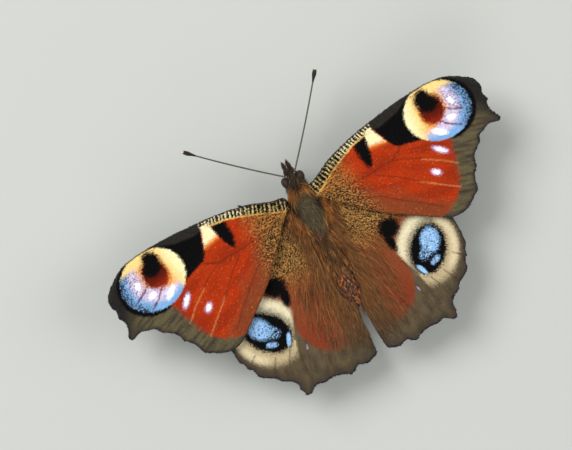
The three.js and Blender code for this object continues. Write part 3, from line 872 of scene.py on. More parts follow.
def scatter(tree, start, end, shape, sizes):
    """The shared part of both trees: roots on the skin, one turned copy of the shape on each, made real,
    mapped and dressed in the finish."""
    density = maths(tree, "MULTIPLY", start["Density"], named(tree, "Thickness", "FLOAT"))
    roots = add_node(tree, "GeometryNodeDistributePointsOnFaces", [("distribute_method", "RANDOM")],
                     Mesh=start["Skin"], Density=density, Seed=start["Seed"])
    upright = add_node(tree, "FunctionNodeAlignRotationToVector", [("axis", "Z")],
                       Vector=socket(roots.outputs, "Normal"))
    along = add_node(tree, "FunctionNodeAlignRotationToVector", [("axis", "X"), ("pivot_axis", "Z")],
                     Rotation=socket(upright.outputs, "Rotation"), Vector=named(tree, "Lie"))
    yaw = maths(tree, "MULTIPLY", random_number(tree, -1.0, 1.0, 11), start["Spread"])
    down = maths(tree, "MULTIPLY", start["Lift"], -1.0)
    pitch = maths(tree, "MULTIPLY", random_number(tree, 0.4, 1.0, 12), down)
    tilt = add_node(tree, "FunctionNodeEulerToRotation",
                    Euler=vector(tree, random_number(tree, -0.5, 0.5, 15), pitch, yaw))
    turned = add_node(tree, "FunctionNodeRotateRotation", [("rotation_space", "LOCAL")],
                      Rotation=socket(along.outputs, "Rotation"), Rotate_By=socket(tilt.outputs, "Rotation"))
    placed = add_node(tree, "GeometryNodeInstanceOnPoints", Points=socket(roots.outputs, "Points"),
                      Instance=shape, Rotation=socket(turned.outputs, "Rotation"), Scale=sizes)
    real = add_node(tree, "GeometryNodeRealizeInstances", Geometry=socket(placed.outputs, "Instances"))
    patch = add_node(tree, "ShaderNodeVectorMath", [("operation", "SCALE")], Vector=named(tree, "Local"),
                     Scale=start["Patch Size"])
    spot = vector_maths(tree, "ADD", named(tree, "SkinMap"), patch.outputs[0])
    mapped = stored(tree, socket(real.outputs, "Geometry"), "OFBake", "FLOAT2", "CORNER", spot)
    dressed = add_node(tree, "GeometryNodeSetMaterial", Geometry=mapped, Material=start["Finish"])
    tree.links.new(socket(dressed.outputs, "Geometry"), end["Coat"])
    return tree


print("node tools ready")

# %% The two trees
def scale_tree():
    """Scales: flat four-faced tiles, narrow at the root and broad at the free end."""
    tree, start, end = new_tree("wing scales", ["Density", "Length", "Width", "Height"])
    # A cone of three sides has one corner at +X, which becomes the root; its other two make the free end
    tile = add_node(tree, "GeometryNodeMeshCone", Vertices=3, Radius_Top=0.0, Radius_Bottom=1.0, Depth=1.0)
    size = vector(tree, maths(tree, "DIVIDE", start["Length"], -1.5),
                  maths(tree, "DIVIDE", start["Width"], -1.73), start["Height"])
    shift = vector(tree, maths(tree, "DIVIDE", start["Length"], 1.5), 0.0, 0.0)
    tile = add_node(tree, "GeometryNodeTransform", Geometry=socket(tile.outputs, "Mesh"), Scale=size,
                    Translation=shift)
    whole = vector(tree, start["Length"], start["Width"], start["Height"])
    tile = with_local(tree, socket(tile.outputs, "Geometry"), whole)
    sizes = vector(tree, random_number(tree, 0.8, 1.2, 13), random_number(tree, 0.8, 1.2, 14), 1.0)
    return scatter(tree, start, end, tile, sizes)


def hair_tree():
    """Hairs: tapering bent spikes of three sides."""
    tree, start, end = new_tree("hairs", ["Density", "Length", "Width", "Bend"])
    rise = maths(tree, "MULTIPLY", start["Length"], start["Bend"])
    middle = vector(tree, maths(tree, "MULTIPLY", start["Length"], 0.5), 0.0, rise)
    tip = vector(tree, start["Length"], 0.0, maths(tree, "MULTIPLY", rise, -0.3))
    line = add_node(tree, "GeometryNodeCurveQuadraticBezier", Resolution=4, Start=(0, 0, 0), Middle=middle,
                    End=tip)
    along = add_node(tree, "GeometryNodeSplineParameter")
    taper = maths(tree, "SUBTRACT", 1.04, maths(tree, "POWER", socket(along.outputs, "Factor"), 1.6))
    ring = add_node(tree, "GeometryNodeCurvePrimitiveCircle", Resolution=3, Radius=1.0)
    spike = add_node(tree, "GeometryNodeCurveToMesh", Curve=socket(line.outputs, "Curve"),
                     Profile_Curve=socket(ring.outputs, "Curve"), Fill_Caps=True,
                     Scale=maths(tree, "MULTIPLY", taper, maths(tree, "MULTIPLY", start["Width"], 0.5)))
    whole = vector(tree, start["Length"], maths(tree, "MULTIPLY", start["Width"], 3.0), start["Length"])
    spike = with_local(tree, socket(spike.outputs, "Mesh"), whole)
    size = maths(tree, "MULTIPLY", random_number(tree, 0.55, 1.25, 13), named(tree, "HairLength", "FLOAT"))
    return scatter(tree, start, end, spike, vector(tree, size, random_number(tree, 0.7, 1.3, 14), size))


SCALES = scale_tree()
HAIRS = hair_tree()
print("trees:", SCALES.name, "and", HAIRS.name)

# %% Grow a coat on a skin
PATCH_SIZE = 0.003


def grow(name, skin, tree, finish, thickness, hair_length=1.0, **values):
    """Runs a tree on a skin and returns the coat as a plain mesh; thickness is each point's share of
    the density."""
    bed = skin.data.copy()
    keep(bed, "Thickness", thickness)
    keep(bed, "HairLength", np.broadcast_to(hair_length, len(bed.vertices)))
    grower = show(name + "_bed", bed)
    step = grower.modifiers.new("coat", "NODES")
    step.node_group = tree
    values.update({"Finish": finish, "Patch Size": PATCH_SIZE})
    for item in tree.interface.items_tree:
        if item.in_out == "INPUT" and item.name in values:
            step[item.identifier] = values[item.name]
    graph = bpy.context.evaluated_depsgraph_get()
    mesh = bpy.data.meshes.new_from_object(grower.evaluated_get(graph), preserve_all_data_layers=True,
                                           depsgraph=graph)
    bpy.data.objects.remove(grower)
    bpy.data.meshes.remove(bed)
    mesh.name = name
    mesh.materials.clear()
    mesh.materials.append(finish)
    return show(name, mesh)


def per_copy(mesh, corners, seed, count):
    """Chance numbers from -1 to 1, the same for all corners of one copy."""
    chance = np.random.default_rng(seed)
    copies = len(mesh.vertices) // corners
    return [np.repeat(chance.uniform(-1, 1, copies), corners) for _ in range(count)]


def root_places(mesh, corners):
    """The place of each copy's root, for all corners of the copy."""
    spot = kept(mesh, "Place", 3).reshape(-1, corners, 3)
    return np.repeat(spot[:, :1], corners, 1).reshape(-1, 3)


print("coats can grow")

# %% [markdown]
# ## Finishes
# Every finish starts from the colour that a piece carries in its points, because the markings were laid on
# by rule. A shared node group adds what no point can hold: a fine unevenness of the colour and a height for
# a bump. Each material places that group with its own values, and keeps its own shader.

# %% Shared grain
def grain_group():
    """Fine unevenness: a colour made a little lighter and darker, and a height that goes with it."""
    group = bpy.data.node_groups.new("fine grain", "ShaderNodeTree")
    for label, kind, where in [("Colour", "Color", "INPUT"), ("Grain Size", "Float", "INPUT"),
                               ("Stretch", "Float", "INPUT"), ("Strength", "Float", "INPUT"),
                               ("Colour", "Color", "OUTPUT"), ("Height", "Float", "OUTPUT"),
                               ("Roughness", "Float", "OUTPUT")]:
        group.interface.new_socket(name=label, in_out=where, socket_type="NodeSocket" + kind)
    start = group.nodes.new("NodeGroupInput").outputs
    end = group.nodes.new("NodeGroupOutput").inputs
    place = group.nodes.new("ShaderNodeTexCoord").outputs["Object"]
    place = vector_maths(group, "MULTIPLY", place, vector(group, 1.0, start["Stretch"], 1.0))
    noise = add_node(group, "ShaderNodeTexNoise", Vector=place, Detail=3.0, Roughness=0.6,
                     Scale=maths(group, "DIVIDE", 1.0, start["Grain Size"]))
    factor = socket(noise.outputs, "Fac")
    swing = maths(group, "MULTIPLY", maths(group, "SUBTRACT", factor, 0.5), start["Strength"])
    bright = maths(group, "ADD", maths(group, "MULTIPLY", swing, 2.0), 1.0)
    tinted = add_node(group, "ShaderNodeVectorMath", [("operation", "SCALE")], Vector=start["Colour"],
                      Scale=bright)
    group.links.new(tinted.outputs[0], end["Colour"])
    group.links.new(factor, end["Height"])
    group.links.new(maths(group, "ADD", maths(group, "MULTIPLY", swing, 0.4), 0.72), end["Roughness"])
    return group


FINE_GRAIN = grain_group()


def finish(name, grain_mm, stretch, strength, bump_mm, specular):
    """A material that shows the colour stored in the points, with grain and bump."""
    material = bpy.data.materials.new(name)
    material.use_nodes = True
    tree = material.node_tree
    shader = tree.nodes["Principled BSDF"].inputs
    stored = add_node(tree, "ShaderNodeAttribute", [("attribute_name", "Markings")])
    grain = add_node(tree, "ShaderNodeGroup", [("node_tree", FINE_GRAIN)], Colour=stored.outputs["Color"],
                     Grain_Size=grain_mm * MM, Stretch=stretch, Strength=strength)
    tree.links.new(grain.outputs["Colour"], shader["Base Color"])
    tree.links.new(grain.outputs["Roughness"], shader["Roughness"])
    bump = add_node(tree, "ShaderNodeBump", Strength=1.0, Distance=bump_mm * MM,
                    Height=grain.outputs["Height"])
    tree.links.new(bump.outputs["Normal"], shader["Normal"])
    shader["Specular IOR Level"].default_value = specular
    return material


WING_FINISH = finish("wing film", 0.25, 1.0, 0.35, 0.02, 0.08)
SCALE_FINISH = finish("wing scales", 0.12, 1.0, 0.25, 0.004, 0.05)
HAIR_FINISH = finish("silky hair", 0.3, 0.3, 0.5, 0.004, 0.18)
SKIN_FINISH = finish("body skin", 0.2, 1.0, 0.6, 0.03, 0.3)
FEELER_FINISH = finish("feeler scales", 0.08, 1.0, 0.4, 0.01, 0.35)
for wing in wings.values():
    wing.data.materials.append(WING_FINISH)
print("finishes:", [m.name for m in bpy.data.materials])

# %% [markdown]
# ## Scales on the wings
# The upper side gets the denser coat, because there the scales carry the picture. The root of each scale
# gives its place on the wing, the colour rules are asked at that place, and all corners of the scale get
# the one answer, as a real scale has a single colour.

# %% Cover the wings
TILE_CORNERS = 4
SCALE_COATS = {
    False: dict(name="_under_scales", rule="under", facing=-1, many=44, size=1.35),
    True: dict(name="_scales", rule="top", facing=1, many=88, size=1.0),
}


def cover_wing(node_name, wing, upper, seed):
    """Paves one side of a wing with scales and colours each by its root's place."""
    kind, side = WING_KINDS[node_name.split("_")[0]], SCALE_COATS[upper]
    facing = ramp(kept(wing.data, "Place", 3)[:, 2] * side["facing"], -0.2, 0.2)
    coat = grow(node_name + side["name"], wing, SCALES, SCALE_FINISH, facing, Density=side["many"] * PER_MM2,
                Length=0.26 * side["size"] * MM, Width=0.17 * side["size"] * MM, Height=0.018 * MM,
                Lift=0.07, Spread=0.3, Seed=seed)
    p, q, _ = root_places(coat.data, TILE_CORNERS).T
    edge = np.repeat(rim_distance(p[::TILE_CORNERS], q[::TILE_CORNERS], kind["edge"]), TILE_CORNERS)
    grain, grain2, shade = per_copy(coat.data, TILE_CORNERS, seed, 3)
    keep_colour(coat.data, kind[side["rule"]](p, q, grain, grain2, edge) * (1 + 0.16 * shade)[:, None])
    print(coat.name, len(coat.data.polygons), "faces")
    return coat


coats = []
for number, (node_name, wing) in enumerate(wings.items()):
    for upper in (True, False):
        coats.append(cover_wing(node_name, wing, upper, 10 + 2 * number + upper))

# %% [markdown]
# ## The body
# Head, chest, abdomen, palps and legs are one skin in life, so they are one mesh here: the parts are first
# made as closed shapes that run into each other, then a remesh melts them together and a light smoothing
# takes the steps away. Each point is afterwards told which part it belongs to, because hair length, lie and
# colour depend on that.

# %% Shapes of the body parts
PAD_RINGS = 22
PAD_AROUND = 24


def body_rings(section, steps, around):
    """A body along Y; section(t) gives y, z, half width and half height."""
    t = np.linspace(0, 1, steps)
    y, z, wide, high = (np.broadcast_to(v, t.shape)[:, None] for v in section(t))
    turn = np.arange(around) * 2 * np.pi / around
    ring = np.stack([wide * np.cos(turn), y + 0 * turn, z + high * np.sin(turn)], 2)
    return np.concatenate([[[0, y[0, 0], z[0, 0]]], ring.reshape(-1, 3), [[0, y[-1, 0], z[-1, 0]]]])


def thorax_section(t):
    along = np.sin(np.pi * (0.1 + 0.82 * t)) ** 0.62
    return -2.9 + 8.0 * t, 5.7 - 0.35 * (t - 0.4) ** 2, 1.85 * along, 2.0 * along


def abdomen_section(t):
    waist = 0.86 + 0.14 * np.sin(np.pi * t / 0.7)
    swell = np.where(t < 0.35, waist, 1 - 0.36 * np.clip((t - 0.35) / 0.65, 0, 1) ** 1.6)
    tip = np.sqrt(1 - 0.985 * np.clip((t - 0.82) / 0.18, 0, 1) ** 2)
    rings = 1 - 0.05 * np.clip(np.cos(2 * np.pi * t * 8), 0.4, 1) * ramp(t, 0.02, 0.1)
    return 4.0 + 12.6 * t, 5.3 - 0.6 * t, 1.62 * swell * tip * rings, 1.5 * swell * tip * rings


def head_section(t):
    swell = np.sin(np.pi * (0.22 + 0.66 * t)) ** 0.55
    return -2.5 - 2.3 * t, 5.4 - 0.1 * t, 1.05 * swell, 1.1 * swell


def shoulder_pad(middle, size, side):
    """A flat oval pad that fills the crook between the chest and the roots of the wings."""
    x, y, z = middle
    wide, long, high = size

    def section(t):
        turn = np.pi * np.clip(t, 0.04, 0.96)
        return y - long * np.cos(turn), z + 0 * turn, wide * np.sin(turn), high * np.sin(turn)

    return body_rings(section, PAD_RINGS, PAD_AROUND) + [side * x, 0, 0]


def leg_radius(t, kind):
    thick = np.interp(t, [0, 0.12, 0.34, 0.38, 0.66, 0.7, 0.98, 1],
                      [0.42, 0.3, 0.22, 0.2, 0.17, 0.15, 0.14, 0.1])
    joints = 1 - 0.16 * ramp(np.cos(2 * np.pi * t * 14), 0.6, 1) * ramp(t, 0.68, 0.72)
    return thick * joints * (0.85 if kind == "foreleg" else 1.0)


def straight_spine(start, end, steps):
    """A straight line in the middle plane; start and end are given as y and z."""
    y, z = (np.linspace(a, b, steps) for a, b in zip(start, end))
    return np.c_[np.zeros(steps), y, z]


print("body shapes ready")

# %% Put the body parts in their places
SHOULDERS = [((2.35, 1.6, 5.8), (1.5, 1.9, 0.6)), ((4.2, 0.4, 5.4), (0.9, 1.1, 0.22))]
PALP = [(0.3, -4.2, 4.85), (0.36, -5.4, 4.85), (0.33, -6.6, 5.35)]
PALP_STEPS = 24
PALP_AROUND = 16
LEGS = {
    "foreleg": [(0.85, -1.3, 3.9), (1.15, -2.7, 2.75), (0.75, -4.2, 3.3)],
    "midleg": [(1.2, 0.6, 3.9), (4.7, -0.5, 4.3), (6.8, -2.4, 0.45), (8.8, -4.2, 0.14)],
    "hindleg": [(1.2, 2.7, 3.9), (4.3, 5.2, 4.2), (6.3, 9.3, 0.45), (7.27, 12.3, 0.14)],
}
LEG_STEPS = 60
LEG_AROUND = 14
# A spine is the line that a part lies round, with the part's rough half thickness
spines = {
    "chest": (straight_spine((-2.4, 5.7), (4.4, 5.7), 30), 1.9),
    "abdomen": (straight_spine((4.8, 5.3), (16.2, 4.75), 40), 1.5),
    "head": (straight_spine((-2.9, 5.35), (-4.5, 5.35), 12), 1.05),
}
# Each part comes with the number of points in one of its rings
body_parts = [
    (body_rings(thorax_section, 40, 48), 48),
    (body_rings(abdomen_section, 90, 48), 48),
    (body_rings(head_section, 26, 40), 40),
]
for side_name, side in SIDES.items():
    for middle, size in SHOULDERS:
        body_parts.append((shoulder_pad(middle, size, side), PAD_AROUND))
    palp = smooth_path([(side * x, y, z) for x, y, z in PALP], PALP_STEPS)
    palp_radius = np.interp(np.linspace(0, 1, PALP_STEPS), [0, 0.3, 0.75, 1], [0.3, 0.35, 0.24, 0.08])
    body_parts.append((turned_tube(palp, palp_radius, PALP_AROUND), PALP_AROUND))
    spines["palp " + side_name] = (palp, 0.22)
    for kind, corners in LEGS.items():
        line = smooth_path([(side * x, y, z) for x, y, z in corners], LEG_STEPS)
        radius = leg_radius(np.linspace(0, 1, LEG_STEPS), kind)
        line[:, 2] = np.maximum(line[:, 2], radius)
        body_parts.append((turned_tube(line, radius, LEG_AROUND), LEG_AROUND))
        spines[kind + " " + side_name] = (line, 0.2)
print("body parts:", len(body_parts))

# %% Melt them into one skin
VOXEL_MM = 0.075
points, faces, start = [], [], 0
for part, around in body_parts:
    points.append(part)
    closed = outward_faces(part, skin_faces(around, (len(part) - 2) // around))
    faces += [[start + corner for corner in face] for face in closed]
    start += len(part)
rough = bpy.data.meshes.new("rough")
rough.from_pydata(np.concatenate(points).tolist(), [], faces)
melter = show("melter", rough)
melt = melter.modifiers.new("melt", "REMESH")
melt.mode = "VOXEL"
melt.voxel_size = VOXEL_MM
ease = melter.modifiers.new("ease", "SMOOTH")
ease.factor = 0.5
ease.iterations = 4
graph = bpy.context.evaluated_depsgraph_get()
skin_mesh = bpy.data.meshes.new_from_object(melter.evaluated_get(graph))
bpy.data.objects.remove(melter)
skin_points = np.empty(len(skin_mesh.vertices) * 3)
skin_mesh.vertices.foreach_get("co", skin_points)
skin_points = skin_points.reshape(-1, 3)
skin_points[:, 2] = np.maximum(skin_points[:, 2], 0)
skin_mesh.vertices.foreach_set("co", in_metres(skin_points).ravel())
skin_mesh.update()
skin_mesh.shade_smooth()
body = show("body_skin", skin_mesh)
print("one skin of", len(skin_mesh.polygons), "faces")

# %% Tell each point its part
part_names = list(spines)
best = np.full(len(skin_points), 1e9)
part_of = np.zeros(len(skin_points), int)
along_part = np.zeros(len(skin_points))
ahead_of = np.zeros((len(skin_points), 3))
off_line = np.zeros((len(skin_points), 3))
for number, (line, thick) in enumerate(spines.values()):
    ahead = np.gradient(line, axis=0)
    ahead /= np.linalg.norm(ahead, axis=1)[:, None]
    for step, (spot, direction) in enumerate(zip(line, ahead)):
        gap = np.linalg.norm(skin_points - spot, axis=1) / thick
        nearer = gap < best
        best = np.where(nearer, gap, best)
        part_of[nearer] = number
        along_part[nearer] = step / len(line)
        ahead_of[nearer] = direction
        off_line[nearer] = (skin_points - spot)[nearer]
is_part = {name: part_of == number for number, name in enumerate(part_names)}
on_leg = np.any([is_part[n] for n in part_names if "leg" in n], axis=0)
on_palp = np.any([is_part[n] for n in part_names if "palp" in n], axis=0)
print({name: int(mask.sum()) for name, mask in is_part.items()})

# %% Lie of the hair, and the map
lie = ahead_of.copy()
lie[is_part["head"]] *= -1
lie += 0.22 * off_line / (np.linalg.norm(off_line, axis=1)[:, None] + 1e-9)
lie[:, 0] += 0.4 * ripple(skin_points[:, 0] * 1.3, skin_points[:, 1] * 0.5, 1.5, 7.0) * ~on_leg
keep(skin_mesh, "Lie", lie, "FLOAT_VECTOR")
keep(skin_mesh, "Place", skin_points, "FLOAT_VECTOR")
# The map gives each part its own strip: round the part one way, along it the other
around_part = np.arctan2(off_line[:, 0], off_line[:, 2]) / (2 * np.pi) + 0.5
across = (part_of + 0.92 * around_part) * (1 / len(part_names))
keep(skin_mesh, "SkinMap", np.stack([along_part * 0.96, across, 0 * across], 1), "FLOAT_VECTOR")
print("map of", len(part_names), "strips")

# %% Colours of the body
SKIN_SHADE = 0.45  # skin between dark hairs lies in their shadow


def body_colour(x, y, z, chance, leg=0.0):
    """Chestnut, grey-olive on the chest's back, greyer abdomen with an orange-flecked end, dark legs."""
    c = lay(paint(116, 74, 42), paint(150, 94, 48), ramp(chance, 0.1, 0.9))
    c = lay(c, paint(64, 44, 30), 0.8 * ramp(-chance, 0.35, 0.9))
    strand = ripple(x * 2.4, y * 0.28, 1.3, 4.2)
    c = lay(c, paint(196, 132, 66), 0.75 * ramp(strand, 0.1, 0.7))
    c = lay(c, paint(42, 31, 23), 0.75 * ramp(-strand, 0.1, 0.7))
    bare = oval(x, y, (0, 1.1), (1.85, 3.4)) + 0.16 * chance
    c = lay(c, paint(86, 80, 58), 0.9 * fall(bare, 0.8, 1.1) * ramp(z, 6.4, 7.0))
    stripe = fall(np.abs(np.abs(x) - 2.0), 0.15, 0.45) * ramp(y, -1.2, 0) * fall(y, 5, 7)
    c = lay(c, paint(176, 108, 44), 0.7 * stripe * ramp(z, 5.2, 6.2))
    c = lay(c, paint(66, 54, 36), 0.6 * fall(np.abs(x), 0.4, 1.1) * ramp(y, 3.8, 5) * fall(y, 9, 11))
    # painted shade: dark lines standing for the shadow in the grooves beside the front of the chest
    groove_shade = np.abs(np.abs(x) - 1.45) + 0.08 * chance
    c = lay(c, paint(26, 22, 20), 0.9 * fall(groove_shade, 0.1, 0.3) * ramp(y, -2.3, -1.8) * fall(y, 0.4, 1.6))
    c = lay(c, paint(156, 100, 48), 0.8 * fall(np.abs(y + 2.4), 0.3, 0.9) * ramp(z, 5, 6))
    c = lay(c, paint(38, 32, 27), 0.85 * fall(oval(x, y, (0, -2.7), (0.5, 0.45)), 0.8, 1.2) * ramp(z, 6, 6.4))
    head = lay(paint(48, 43, 36), paint(116, 98, 68), ramp(chance, 0.4, 0.95))
    c = lay(c, head, 0.9 * fall(y, -3.3, -2.7))
    c = lay(c, paint(54, 52, 50), 0.9 * ramp(y + 0.6 * chance, 10.2, 12.2))
    fleck = ramp(chance, 0.4, 0.5) * ramp(y, 10.8, 11.6) * fall(y, 15.6, 16.4) * ramp(z, 5.0, 5.4)
    c = lay(c, paint(214, 116, 42), 0.95 * fleck)
    c = lay(c, paint(52, 42, 34), 0.75 * fall(z, 3.6, 5.4))
    return lay(c, paint(58, 44, 34), leg)


def leg_colour(x, y, z, chance):
    return body_colour(x, y, z, chance, 1.0)


no_chance = np.zeros(len(skin_points))
keep_colour(skin_mesh, body_colour(*skin_points.T, no_chance, on_leg.astype(float)) * SKIN_SHADE)
skin_mesh.materials.append(SKIN_FINISH)
print("the skin shows", SKIN_SHADE, "of the hair's light")

# %% [markdown]
# ## Hair
# The chest wears a dense silky coat that flows back over the abdomen and the roots of the wings. The same
# hair tree grows it everywhere; only its length, density and lift change, longest on the chest and shortest
# on the legs.

# %% Hair on the body
HAIR_CORNERS = 15


def hair_coat(name, skin, thickness, length_share, rule, seed, many, long, wide, bend, lift, spread):
    """Grows a coat of hair and colours each hair by its root's place. Sizes are in millimetres, and many is
    the number of hairs on a square millimetre."""
    coat = grow(name, skin, HAIRS, HAIR_FINISH, thickness, length_share, Density=many * PER_MM2,
                Length=long * MM, Width=wide * MM, Bend=bend, Lift=lift, Spread=spread, Seed=seed)
    chance, shade = per_copy(coat.data, HAIR_CORNERS, seed, 2)
    colour = rule(*root_places(coat.data, HAIR_CORNERS).T, chance)
    keep_colour(coat.data, colour * (1 + 0.45 * shade)[:, None])
    coats.append(coat)
    print(coat.name, len(coat.data.polygons), "faces,", len(coat.data.vertices) // HAIR_CORNERS, "hairs")


x, y, z = skin_points.T
back_share = 1 - 0.65 * fall(oval(x, y, (0, 0.9), (1.65, 2.9)), 0.7, 1.1) * ramp(z, 6.6, 7.2)
back_share *= 1 - 0.35 * ramp(np.abs(x), 1.7, 2.4)
abdomen_share = np.interp(y, [4, 8.5, 11.5, 16.5], [1.3, 1.0, 0.32, 0.28])
eye_gap = ramp(np.hypot(np.abs(x) - 1.15, y + 3.75), 0.7, 0.95)
hair_coat("chest_hair", body, is_part["chest"], back_share, body_colour, 31,
          many=58, long=1.8, wide=0.1, bend=0.16, lift=0.36, spread=0.35)
hair_coat("abdomen_hair", body, is_part["abdomen"], abdomen_share, body_colour, 32,
          many=58, long=1.5, wide=0.095, bend=0.12, lift=0.24, spread=0.3)
hair_coat("head_hair", body, (is_part["head"] | on_palp) * eye_gap, np.where(on_palp, 0.5, 0.8),
          body_colour, 33, many=120, long=0.8, wide=0.05, bend=0.14, lift=0.5, spread=0.4)
hair_coat("leg_hair", body, on_leg, np.where(z < 1, 0.35, 0.8), leg_colour, 34,
          many=42, long=0.5, wide=0.035, bend=0.1, lift=0.35, spread=0.4)

# %% [markdown]
# Long hairs also cover the inner part of the hindwings and the roots of the forewings, and a short fringe
# stands all round every wing's edge. They grow from the same wing sheets as the scales.

# %% Hair on the wings
# Each rule is asked with the three numbers of a root's place and a chance, and uses those it needs
def wing_hair_colour(p, q, facing, chance):
    c = lay(paint(128, 84, 46), paint(156, 104, 58), ramp(chance, 0.2, 0.9))
    c = lay(c, paint(70, 52, 36), 0.8 * ramp(-chance, 0.2, 0.8))
    return lay(c, paint(92, 76, 54), 0.8 * ramp(q + 2 * chance, 15, 21))


def root_hair_colour(p, q, facing, chance):
    c = lay(paint(108, 76, 42), paint(178, 128, 60), ramp(chance, 0.0, 0.8))
    return lay(c, paint(48, 38, 28), ramp(-chance, 0.2, 0.7))


def fringe_colour(p, q, facing, chance):
    c = lay(paint(62, 54, 46), paint(34, 32, 36), ramp(chance, -0.2, 0.6))
    return lay(c, paint(116, 72, 42), fall(p, 12, 16) * fall(q, -1, 0))


for number, (node_name, wing) in enumerate(wings.items()):
    p, q, facing = kept(wing.data, "Place", 3).T
    above = (facing > 0).astype(float)
    if node_name.startswith("hindwing"):
        inner = fall(p, 2.2, 3.6) + 0.22 * fall(p, 4.5, 7.5) * ramp(q, 7, 10)
        inner = above * np.minimum(inner, 1) * fall(q, 20.5, 22.5)
        hair_coat(node_name + "_hair", wing, inner, np.interp(q, [2, 8, 18, 22], [1.3, 1.2, 0.9, 0.6]),
                  wing_hair_colour, 50 + number,
                  many=34, long=2.0, wide=0.075, bend=0.1, lift=0.16, spread=0.22)
        base = above * ramp(p, 1.6, 3) * fall(p + 0.5 * q, 7.5, 10.5)
    else:
        base = above * fall(p, 2.2, 5.5) * fall(q - 0.6 * p, 0.2, 0.8)
    hair_coat(node_name + "_root_hair", wing, base, 1.0, root_hair_colour, 60 + number,
              many=9, long=0.8, wide=0.06, bend=0.1, lift=0.15, spread=0.35)
    fringe = above * fall(kept(wing.data, "Edge", 1), 0.02, 0.14)
    hair_coat(node_name + "_fringe", wing, fringe, 1.0, fringe_colour, 70 + number,
              many=170, long=0.32, wide=0.05, bend=0.03, lift=0.03, spread=0.35)

# %% [markdown]
# ## Eyes
# The eye of a butterfly is a dome of thousands of tiny facets. The dome is a sphere drawn out to an oval;
# the facets are far smaller than a picture element, so they are a bump from a cell pattern under a thin
# gloss.

# %% Eyes
FACET_MM = 0.07
EYE_SIZE = np.array([0.62, 0.85, 0.95])
EYE_YAW = 0.16
EYE_RINGS = 40
EYE_AROUND = 64


def eye_finish():
    material = bpy.data.materials.new("eye facets")
    material.use_nodes = True
    tree = material.node_tree
    shader = tree.nodes["Principled BSDF"].inputs
    place = add_node(tree, "ShaderNodeTexCoord").outputs["Object"]
    cells = add_node(tree, "ShaderNodeTexVoronoi", Vector=place, Scale=1 / (FACET_MM * MM))
    shades = add_node(tree, "ShaderNodeValToRGB", Fac=cells.outputs["Distance"])
    shades.color_ramp.elements[0].color = (*paint(60, 43, 30), 1)
    shades.color_ramp.elements[1].color = (*paint(28, 20, 14), 1)
    tree.links.new(shades.outputs["Color"], shader["Base Color"])
    height = maths(tree, "SUBTRACT", 1.0, cells.outputs["Distance"])
    bump = add_node(tree, "ShaderNodeBump", Strength=0.5, Distance=0.01 * MM, Height=height)
    tree.links.new(bump.outputs["Normal"], shader["Normal"])
    shader["Roughness"].default_value = 0.55
    shader["Specular IOR Level"].default_value = 0.2
    shader["Coat Weight"].default_value = 0.05
    shader["Coat Roughness"].default_value = 0.12
    return material


EYE_FINISH = eye_finish()
eyes = {}
for side_name, side in SIDES.items():
    polar = np.pi * np.linspace(0.02, 0.98, EYE_RINGS)[:, None]
    turn = np.arange(EYE_AROUND) * 2 * np.pi / EYE_AROUND
    ring = np.stack([np.sin(polar) * np.cos(turn), np.sin(polar) * np.sin(turn), np.cos(polar) + 0 * turn], 2)
    ball = np.concatenate([[[0, 0, 1]], ring.reshape(-1, 3), [[0, 0, -1]]]) * EYE_SIZE
    c, s = np.cos(side * EYE_YAW), np.sin(side * EYE_YAW)
    ball = ball @ np.array([[c, s, 0], [-s, c, 0], [0, 0, 1]]) + EYE_MIDDLE * [side, 1, 1]
    eyes[side_name] = show("eye_dome_" + side_name, make_mesh("eye", ball, skin_faces(EYE_AROUND, EYE_RINGS)))
    eyes[side_name].data.materials.append(EYE_FINISH)
print("two eyes,", len(eyes["left"].data.polygons), "faces each")

# %% [markdown]
# ## Feelers
# Each feeler is a stalk of about forty short joints, black with a pale ring at each joint, and ends in a
# black club with a pale tip. It is a tube along a gently bowed line whose radius swells at every joint and
# again in the club.

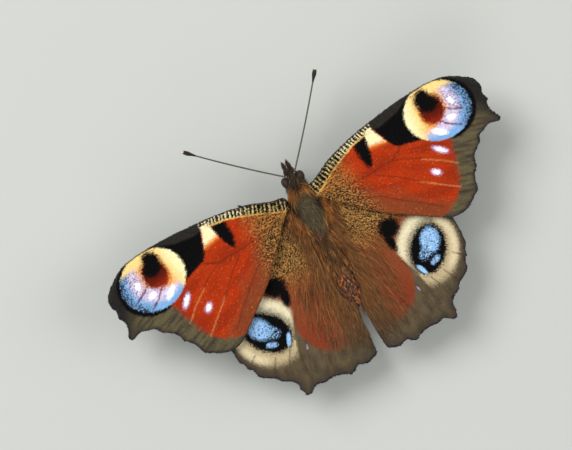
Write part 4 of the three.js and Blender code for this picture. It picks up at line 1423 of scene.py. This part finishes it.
# %% Feelers
FEELER_ENDS = {
    "left": ((0.45, -4.3, 6.05), (12.22, -14.54, 8.6), 0.25),
    "right": ((-0.4, -4.3, 6.05), (-10.09, -16.3, 8.6), -0.2),
}
JOINTS = 42
FEELER_STEPS = JOINTS * 8
FEELER_AROUND = 16
feelers = {}
for side_name, (base, tip, bow) in FEELER_ENDS.items():
    base, tip = np.array(base), np.array(tip)
    t = np.linspace(0, 1, FEELER_STEPS)
    bend = (base + tip) / 2 + [bow, abs(bow), 0.35]
    line = (1 - t)[:, None] ** 2 * base + 2 * (t * (1 - t))[:, None] * bend + t[:, None] ** 2 * tip
    joint = 0.5 + 0.5 * np.cos(2 * np.pi * t * JOINTS)
    radius = np.interp(t, [0, 0.03, 0.86, 0.9, 0.94, 0.985, 1], [0.16, 0.11, 0.105, 0.19, 0.32, 0.26, 0.1])
    radius = radius * (1 + 0.07 * joint * (t < 0.88))
    tube = turned_tube(line, radius, FEELER_AROUND)
    mesh = make_mesh("feeler", tube, skin_faces(FEELER_AROUND, FEELER_STEPS))
    colour = lay(paint(20, 17, 16), paint(150, 140, 122), 0.75 * ramp(joint, 0.6, 0.85) * (t < 0.87))
    colour = lay(colour, paint(206, 190, 150), ramp(t, 0.975, 0.99))
    keep_colour(mesh, np.concatenate([colour[:1], np.repeat(colour, FEELER_AROUND, 0), colour[-1:]]))
    mesh.materials.append(FEELER_FINISH)
    feelers[side_name] = show("feeler_" + side_name, mesh)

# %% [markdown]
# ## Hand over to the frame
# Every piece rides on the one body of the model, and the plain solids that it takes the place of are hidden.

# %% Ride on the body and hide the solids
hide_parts("head", "thorax", "abdomen", "palp_left", "palp_right", "foreleg_left", "foreleg_right",
            "midleg_left", "midleg_right", "hindleg_left", "hindleg_right")
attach(body, "root")
for node_name, wing in wings.items():
    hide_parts(node_name)
    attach(wing, "root")
for side_name in SIDES:
    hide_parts("eye_" + side_name)
    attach(eyes[side_name], "root")
    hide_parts("antenna_" + side_name)
    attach(feelers[side_name], "root")
for coat in coats:
    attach(coat, "root")
count = 0
for thing in [body, *wings.values(), *eyes.values(), *feelers.values(), *coats]:
    thing.data.calc_loop_triangles()
    triangles = len(thing.data.loop_triangles)
    count += triangles
    print(thing.name, triangles)
print("triangles in all:", count)
